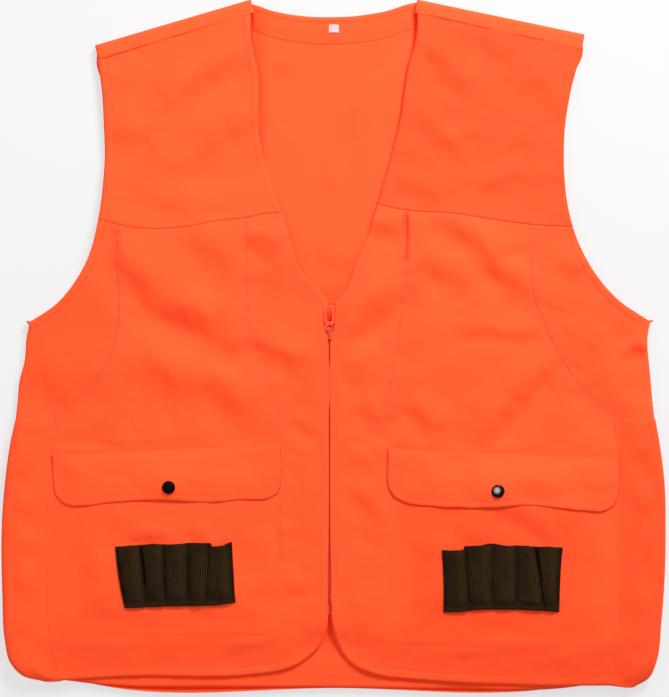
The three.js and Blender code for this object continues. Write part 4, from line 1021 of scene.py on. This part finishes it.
# pockets
pocket = {"depth": 6.2, "roll": 60.0, "mouth": -118.0, "corner": 22}
# rim is the strength of the painted shadow at each flap's free edge
flapLook = {"root": 20.6, "lift": 2.3, "snapHeight": 31.6, "curl": {"Left": -0.2, "Right": -0.8},
            "snap": {"Left": (169.5, -150.5), "Right": (-173.0, -146.5)}, "rim": {"Left": 0.75, "Right": 0.5}}
surfaceOf = {}
for name, side in sides.items():
    low, high, bottom = outline[name]["pocket"]
    r = pocket["corner"]
    corner = np.radians(np.linspace(180, 270, 12))
    arcIn = np.column_stack([low + r + r * np.cos(corner), bottom + r + r * np.sin(corner)])
    corner = np.radians(np.linspace(270, 360, 12))
    arcOut = np.column_stack([high - r + r * np.cos(corner), bottom + r + r * np.sin(corner)])
    half = 6
    leftRun = joined(curveThrough([[low, pocket["mouth"]], [low, bottom + r]], 90), arcIn[:half])
    rightRun = joined(curveThrough([[high, pocket["mouth"]], [high, bottom + r]], 90), arcOut[::-1][:half])
    base = joined(arcIn[half - 1:], curveThrough([arcIn[-1], arcOut[0]], 118), arcOut[:len(arcOut) - half + 1])
    mouth = curveThrough([[low, pocket["mouth"]], [high, pocket["mouth"]]], len(base))
    plan = patch(onSide(side, base), onSide(side, mouth), onSide(side, leftRun[::-1]), onSide(side, rightRun[::-1]))
    x, y = plan[..., 0], plan[..., 1]
    line = onSide(side, joined(leftRun, base, rightRun[::-1]))

    def pocketSurface(x, y, name=name, line=line):
        # the front's own level, plus a pillow that rises from the sewn edges
        d = distanceTo(x, y, line)[0]
        swell = pocket["depth"] * smoothStep(d / pocket["roll"])
        soft = creaseHeight(x, y, ["pocket" + name]) + 0.45 * ripple(x, y, 70, 70) + 0.14 * ripple(x, y, 24, 71)
        swell = swell * (0.35 + 0.65 * smoothStep((-118 - y) / 26))
        soft = np.maximum(soft * smoothStep(d / 16) * smoothStep((-120 - y) / 14), -0.5 * swell)
        return frontSurface(x, y, name) + 0.3 - 1.0 * (1 - smoothStep(d / 5)) + swell + soft

    surfaceOf[name] = pocketSurface
    z = pocketSurface(x, y)
    stitchRun = onSide(side, curveThrough([[low + 8, bottom + 5], [high - 60, bottom + 4]], 40))
    # painted shade along the pocket's edge and bottom stitch, and on the wearer's left over the pocket away from its
    # edges
    marks = paintedSeamShade(x, y, [(line, 1.2, 0.05), (stitchRun, 1.0, 0.28)])
    marks = marks + paintedShade["pocket" + name] * smoothStep(distanceTo(x, y, line)[0] / 60)
    flip = faceUp(side)
    pouch = makeMesh("pocket" + name, [flip(np.dstack([x, y, z]))], [flip(plan)], [flip(marks)], shellCloth)
    addCloth(pouch, cloth["shell"])
    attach(pouch, "vest")
    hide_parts("pocket_front_" + name.lower(), "pocket_gusset_" + name.lower())

    # flap: sewn down at its root, over the pocket's mouth, with a stitched and slightly curled edge
    shape = np.array(outline[name]["flap"], float)
    a, b = 3, len(shape) - 4
    left, right = curveThrough(shape[:a + 1], 60), curveThrough(shape[b:], 60)
    base = curveThrough(shape[a:b + 1], 130)
    root = curveThrough(
        [shape[0], shape[0] * 0.66 + shape[-1] * 0.34, shape[0] * 0.34 + shape[-1] * 0.66, shape[-1]], 130)
    plan = patch(onSide(side, base), onSide(side, root), onSide(side, left[::-1]), onSide(side, right))
    x, y = plan[..., 0], plan[..., 1]
    rootY = np.interp(np.abs(x), [shape[0, 0], shape[-1, 0]], [shape[0, 1], shape[-1, 1]])
    below = rootY - y
    free = onSide(side, joined(left, base, right))
    d, _, share = distanceTo(x, y, free)
    climb = 1 - (1 - np.clip(below / 20, 0, 1)) ** 2
    z = flapLook["root"] + (surfaceOf[name](x, y) + flapLook["lift"] - flapLook["root"]) * climb
    z = z + (creaseHeight(x, y, ["flap" + name]) + 0.5 * ripple(x, y, 60, 80 + side)) * smoothStep(below / 12)
    snapAt = flapLook["snap"][name]
    near = np.exp(-(((x - snapAt[0]) / 26) ** 2 + ((y - snapAt[1]) / 17) ** 2))
    z = z * (1 - near) + flapLook["snapHeight"] * near
    curl = flapLook["curl"][name] * np.clip(1 - d / 16, 0, 1) ** 2 * (1 - near)
    z = z + curl + 0.5 * hemShape(d, 6.0) * (d < 12) * smoothStep(below / 6) + pucker(d, share, 330, 6.0, 0.12)
    # painted shade along the root, and a painted shadow line at the free rim
    marks = paintedSeamShade(x, y, [(onSide(side, root), 1.0, 0.3), (free, 1.3, flapLook["rim"][name])])
    flip = faceUp(side)
    flap = makeMesh("pocketFlap" + name, [flip(np.dstack([x, y, z]))], [flip(plan)], [flip(marks)], shellCloth)
    addCloth(flap, cloth["flap"])
    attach(flap, "flap_" + name.lower())
    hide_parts("pocket_flap_" + name.lower())
print("pockets made")

# shell loops: one elastic strip with a rounded arch between each pair of seams
loopLook = {"lift": 1.9, "least": 0.4, "arch": 3.0, "rib": 0.6, "ribPitch": 2.35, "deep": 0.9, "rim": 0.5,
            "height": 65, "bedMax": 27.4}
loops = {
    "Left": {"top": [113.2, 136, 165.8, 189, 209.3, 235.9], "low": [115.2, 140.4, 164.6, 189, 218.7, 232.4],
             "rims": [[113, 120, 134, 135.5, 150, 160, 168, 180, 200, 210, 222, 236],
                      [-212.1, -212.3, -211.6, -208.2, -207.2, -205.4, -205.8, -207.6, -207.4, -208.8,
                       -208.2, -209.8]],
             "foot": [[113, 130, 150, 180, 210, 233], [-277.8, -277, -274.6, -274.4, -275.6, -277.2]],
             "ribs": [(126, 158, 0.48), (158, 176, 0.62), (200, 230, 0.5)], "deep": 4},
    "Right": {"top": [-227.5, -203.2, -178.9, -152.5, -131.6, -109.4],
              "low": [-217.6, -196.6, -176.7, -152.5, -134.8, -105.5],
              "rims": [[-228, -214, -203, -190, -178, -165, -152, -140, -131, -128, -118, -109],
                       [-208.6, -207.4, -207.2, -205.6, -206.4, -205.8, -204.6, -204.4, -204.8, -208.4,
                        -207.6, -204.2]],
              "foot": [[-219, -200, -176, -150, -125, -105], [-273, -272.4, -271.2, -271, -270.2, -267.4]],
              "ribs": [(-176, -152, 0.45), (-150, -120, 0.55), (-216, -204, 0.5)], "deep": 1},
}
for name, side in sides.items():
    look = loops[name]
    knots = np.arange(6.0)
    s = np.linspace(-0.06, 5.06, 300)
    v = np.linspace(0, 1, 100)[:, None]
    k = np.clip(np.floor(s), 0, 4)
    t = np.clip(s - k, 0, 1)
    topX = np.interp(s, knots, look["top"]) + (s < 0) * s * 30 + (s > 5) * (s - 5) * 30
    lowX = np.interp(s, knots, look["low"]) + (s < 0) * s * 30 + (s > 5) * (s - 5) * 30
    topY = np.interp(topX, *look["rims"]) + 0.25 * np.sin(topX * 2.6)
    lowY = np.interp(lowX, *look["foot"]) + 0.2 * np.sin(lowX * 2.2)
    bend = np.sin(np.pi * v) * np.sin(s[None, :] * 2.1 + side)
    x = lowX[None, :] * (1 - v) + topX[None, :] * v + 1.1 * bend
    y = lowY[None, :] * (1 - v) + topY[None, :] * v
    lean = 0.5 + 0.22 * np.sin(k * 2.4 + side)  # each loop slumps to one side
    arch = np.where(t < lean, t / lean, (1 - t) / (1 - lean))
    arch = 1 - (1 - np.clip(arch, 0, 1)) ** 2.6
    flatBand = smoothStep((0.16 - v) / 0.1)  # the stitched foot is smooth
    sag = 1 - 0.25 * np.sin(np.pi * v) ** 2 * (0.6 + 0.4 * np.sin(s[None, :] * 3.1 + side))
    gathered = np.zeros(x.shape)
    for low, high, middle in look["ribs"]:
        reach = smoothStep((x - low) / 6) * smoothStep((high - x) / 6)
        gathered = np.maximum(gathered, reach * np.exp(-(((v - middle) / 0.2) ** 4)))
    ribs = np.sin(x * 2 * np.pi / loopLook["ribPitch"] + 1.8 * np.sin(y / 4.5 + x / 9))
    bed = np.minimum(surfaceOf[name](x, y), loopLook["bedMax"])
    rise = loopLook["least"] + loopLook["arch"] * sag * (1 - 0.6 * flatBand)
    z = bed + loopLook["lift"] + rise * arch[None, :] + loopLook["rib"] * ribs * gathered
    z = z + 0.1 * np.sin(y * 2 * np.pi / 2.0) * (1 - flatBand)
    crossed = smoothStep((v - 0.3) / 0.1) * smoothStep((0.98 - v) / 0.1)
    deep = np.exp(-(((s[None, :] - look["deep"]) / 0.07) ** 2)) * crossed
    z = z - loopLook["deep"] * deep
    tall = loopLook["height"]
    rim = np.exp(-((v * tall / 1.3) ** 2)) + np.exp(-(((1 - v) * tall / 1.3) ** 2))
    z = z - loopLook["rim"] * rim
    fold = np.exp(-((np.minimum(t, 1 - t)[None, :] / 0.07) ** 2)) * (1 - 0.8 * flatBand)
    # painted shade in the folds between loops and along the deep crease, painted light on the gathered ribs' crests
    # with shade in their troughs, and a painted highlight on a band to one side of each arch; the stitched foot a
    # little lighter
    marks = 0.62 + 0.14 * fold + 0.36 * deep - gathered * (0.14 + 0.55 * ribs) + 0.05 * ripple(x, y, 22, 90)
    marks = marks - 0.1 * flatBand - 0.12 * np.exp(-(((t[None, :] - 0.72) / 0.16) ** 2)) * (1 - flatBand)
    length = np.cumsum(np.r_[0, np.hypot(np.diff(topX), np.diff(5.0 * arch))])
    flat = np.dstack([np.repeat(length[None, :], 100, 0), y])
    strip = makeMesh("shellLoops" + name, [np.dstack([x, y, z])], [flat], [np.clip(marks, 0, 1)], elasticBand)
    addCloth(strip, cloth["elastic"])
    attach(strip, "vest")
    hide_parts("shell_loops_" + name.lower())
print("shell loops made")

# zip tapes
tape = {"width": 13.0, "thick": 0.55, "top": 16.28}
for name, side in sides.items():
    t = np.linspace(0, 1, 26)[None, :]
    y = np.linspace(-273, 42, 240)[:, None]
    spread = np.interp(y, [-273, 4, 8, 21, 44], [2.25, 2.25, 5.2, 6.8, 12.2])
    x = zipX + side * (spread + tape["width"] * t)
    ribbing = 0.07 * np.sin(t * tape["width"] * 2 * np.pi / 1.6) + 0.03 * np.sin(y * 2 * np.pi / 1.3)
    z = tape["top"] + ribbing
    grid = np.dstack([x, y + 0 * x, z + 0 * x])
    flip = faceUp(side)
    ribbon = makeMesh("zipTape" + name, [flip(grid)], [flip(grid[..., :2])], None, facingCloth)
    addCloth(ribbon, tape["thick"])
    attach(ribbon, "edge_" + name.lower())
    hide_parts("zip_tape_" + name.lower())

# hard parts keep their own shape
hardParts = {
    "zip_teeth_left": (zipPlastic, 0), "zip_teeth_right": (zipPlastic, 0), "zip_top_stop_left": (zipPlastic, 0.2),
    "zip_top_stop_right": (zipPlastic, 0.2), "zip_box": (zipPlastic, 0.15), "zip_pin": (zipPlastic, 0.1),
    "zip_slider": (zipEnamel, 0.22), "zip_pull": (zipEnamel, 0.3), "snap_cap_left": (capEnamel, 0.25),
    "snap_cap_right": (wornEnamel, 0.25),
    "snap_socket_left": (snapNickel, 0.12), "snap_socket_right": (snapNickel, 0.12),
    "snap_stud_left": (snapNickel, 0.12), "snap_stud_right": (snapNickel, 0.12), "snap_post_left": (snapNickel, 0.1),
    "snap_post_right": (snapNickel, 0.1),
}
for node, (mat, bevelWidth) in hardParts.items():
    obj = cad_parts[node]
    obj.data.materials.clear()
    obj.data.materials.append(mat)
    if bevelWidth:
        weld = obj.modifiers.new("weld", "WELD")
        weld.merge_threshold = 0.00001
        bevel = obj.modifiers.new("bevel", "BEVEL")
        bevel.width = bevelWidth * mm
        bevel.segments = 2
        bevel.limit_method = "ANGLE"
        bevel.angle_limit = math.radians(24)
        bevel.harden_normals = False
        obj.data.polygons.foreach_set("use_smooth", np.ones(len(obj.data.polygons), bool))
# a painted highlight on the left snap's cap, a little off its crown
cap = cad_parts["snap_cap_left"]
corners = np.array([cap.matrix_world @ v.co for v in cap.data.vertices])
crown = np.r_[(corners.max(0) + corners.min(0))[:2] / 2 + [-0.0012, 0.0010], corners[:, 2].max()]
paintedCapHighlight(capEnamel, cap.matrix_world.inverted() @ Vector(crown), 0.0046, (0.36, 0.30, 0.33))
print("hard parts finished")

# stitches
sewing = {"length": 2.6, "pitch": 3.4, "radius": 0.26}


def stitchMesh(name, centres, directions, heights):
    # each stitch is a four-sided spindle: rings at -1, -.6, .6 and 1 half lengths, its ends sunk in
    n = len(centres)
    ring = np.array([[1, 0], [0, 1], [-1, 0], [0, -1]]) * sewing["radius"]
    at = np.array([-1, -0.6, 0.6, 1]) * sewing["length"] / 2
    swell = np.array([0.25, 1, 1, 0.25])
    dip = np.array([-0.3, 0.05, 0.05, -0.3])
    across = np.column_stack([-directions[:, 1], directions[:, 0]])
    xy = centres[:, None, None] + directions[:, None, None] * at[None, :, None, None]
    xy = xy + across[:, None, None] * (swell[:, None] * ring[:, 0])[None, ..., None]
    z = heights[:, None, None] + dip[None, :, None] + (swell[:, None] * ring[:, 1])[None]
    points = np.concatenate([xy, z[..., None]], -1).reshape(-1, 3) * mm
    base = np.arange(n)[:, None, None] * 16
    r, c = np.meshgrid(np.arange(3), np.arange(4), indexing="ij")
    after = (c + 1) % 4
    quad = np.stack([r * 4 + c, r * 4 + after, (r + 1) * 4 + after, (r + 1) * 4 + c], -1).reshape(1, 12, 4)
    caps = np.array([[[3, 2, 1, 0], [12, 13, 14, 15]]])
    faces = (np.concatenate([quad, caps], 1) + base).reshape(-1, 4)
    mesh = quadMesh(name, points, faces[:, ::-1])
    mesh.validate()
    mesh.materials.append(thread)
    obj = bpy.data.objects.new(name, mesh)
    bpy.context.scene.collection.objects.link(obj)
    return obj


def stitchesAlong(line, offset):
    # centres at even steps on the line moved sideways by offset, with their directions
    run = np.gradient(line, axis=0)
    run = run / np.linalg.norm(run, axis=1)[:, None]
    moved = line + np.column_stack([-run[:, 1], run[:, 0]]) * offset
    length = np.linalg.norm(np.diff(moved, axis=0), axis=1).sum()
    centres = curveThrough(moved[::2] if len(moved) > 20 else moved, max(int(length / sewing["pitch"]), 3))
    run = np.gradient(centres, axis=0)
    return centres, run / np.linalg.norm(run, axis=1)[:, None]


def inwardOffset(line, side, distance):
    # the sign that moves a line towards the cloth's inside, tested at its middle
    run = line[len(line) // 2 + 1] - line[len(line) // 2]
    normal = np.array([-run[1], run[0]])
    inside = np.array([side * 170.0, 0.0]) - line[len(line) // 2]
    return distance * np.sign(normal @ inside)


for name, side in sides.items():
    own = lines[name]
    centres, directions = [], []
    for line, distance in (
        (own["vEdge"][4:], 8.0), (own["centre"][6:], 6.5), (own["hem"], 8.0), (own["facing"], 0.7),
        (own["yokeSeam"][6:-6], -1.4), (own["armhole"][3:-2], 8.0), (own["sideSeam"][3:], 1.0),
        (own["shoulderSeam"], 2.0),
    ):
        line = curveThrough(line, 80) if len(line) < 40 else line
        c, r = stitchesAlong(line, inwardOffset(line, side, distance))
        centres.append(c)
        directions.append(r)
    centres, directions = np.concatenate(centres), np.concatenate(directions)
    heights = frontSurface(centres[:, 0], centres[:, 1], name) + 0.12
    seams = stitchMesh("frontStitches" + name, centres, directions, heights)
    bendAtFold(seams)
print("stitches sewn")

# floor, light and camera
stageLook = {"floor": (0.17, 0.17, 0.17), "glow": 0.66, "world": 0.46, "key": 86.0, "keySize": 0.9, "fill": 6.0}
bpy.ops.mesh.primitive_plane_add(size=14)
floor = bpy.context.object
floor.name = "floor"
floorMat = hardMaterial("paleFloor", stageLook["floor"], 1.0, 0)
floorShader = floorMat.node_tree.nodes["Principled BSDF"]
floorShader.inputs["Specular IOR Level"].default_value = 0
floorShader.inputs["Emission Color"].default_value = (1, 1, 1, 1)
floorShader.inputs["Emission Strength"].default_value = stageLook["glow"]
floor.data.materials.append(floorMat)
floor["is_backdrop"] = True

world = bpy.data.worlds.new("softWorld")
bpy.context.scene.world = world
world.use_nodes = True
world.node_tree.nodes["Background"].inputs["Color"].default_value = (1, 1, 1, 1)
world.node_tree.nodes["Background"].inputs["Strength"].default_value = stageLook["world"]


def areaLight(name, place, target, size, power):
    # a round lamp turned by the yaw and pitch of the line from its place to its target
    data = bpy.data.lights.new(name, "AREA")
    data.shape = "DISK"
    data.size = size
    data.energy = power
    lamp = bpy.data.objects.new(name, data)
    bpy.context.scene.collection.objects.link(lamp)
    lamp.location = place
    aim = np.array(target) - np.array(place)
    yaw = math.atan2(aim[1], aim[0]) - math.pi / 2
    pitch = math.atan2(math.hypot(aim[0], aim[1]), -aim[2])
    lamp.rotation_euler = (pitch, 0, yaw)
    return lamp


areaLight("keyLight", (0.8, 1.7, 1.5), (0, 0, 0), stageLook["keySize"], stageLook["key"])
areaLight("fillLight", (-1.1, 0.8, 1.4), (-0.1, 0, 0), 1.3, stageLook["fill"])

bpy.context.scene.view_settings.view_transform = "Standard"
camera = {"lens": 85.0, "sensor": 36, "tall": 697, "scale": 1.05, "centre": (-0.5, -2.1), "plane": 15.0}
data = bpy.data.cameras.new("camera")
data.lens = camera["lens"]
data.sensor_width = camera["sensor"]
data.clip_end = 50
eye = bpy.data.objects.new("camera", data)
bpy.context.scene.collection.objects.link(eye)
tall = camera["tall"] * camera["scale"] * mm  # the frame's long side on the front's level
away = camera["plane"] * mm + tall / camera["sensor"] * camera["lens"]
eye.location = (camera["centre"][0] * mm, camera["centre"][1] * mm, away)
bpy.context.scene.camera = eye

low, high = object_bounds()
print("size", [round(v, 4) for v in (*low, *high)])
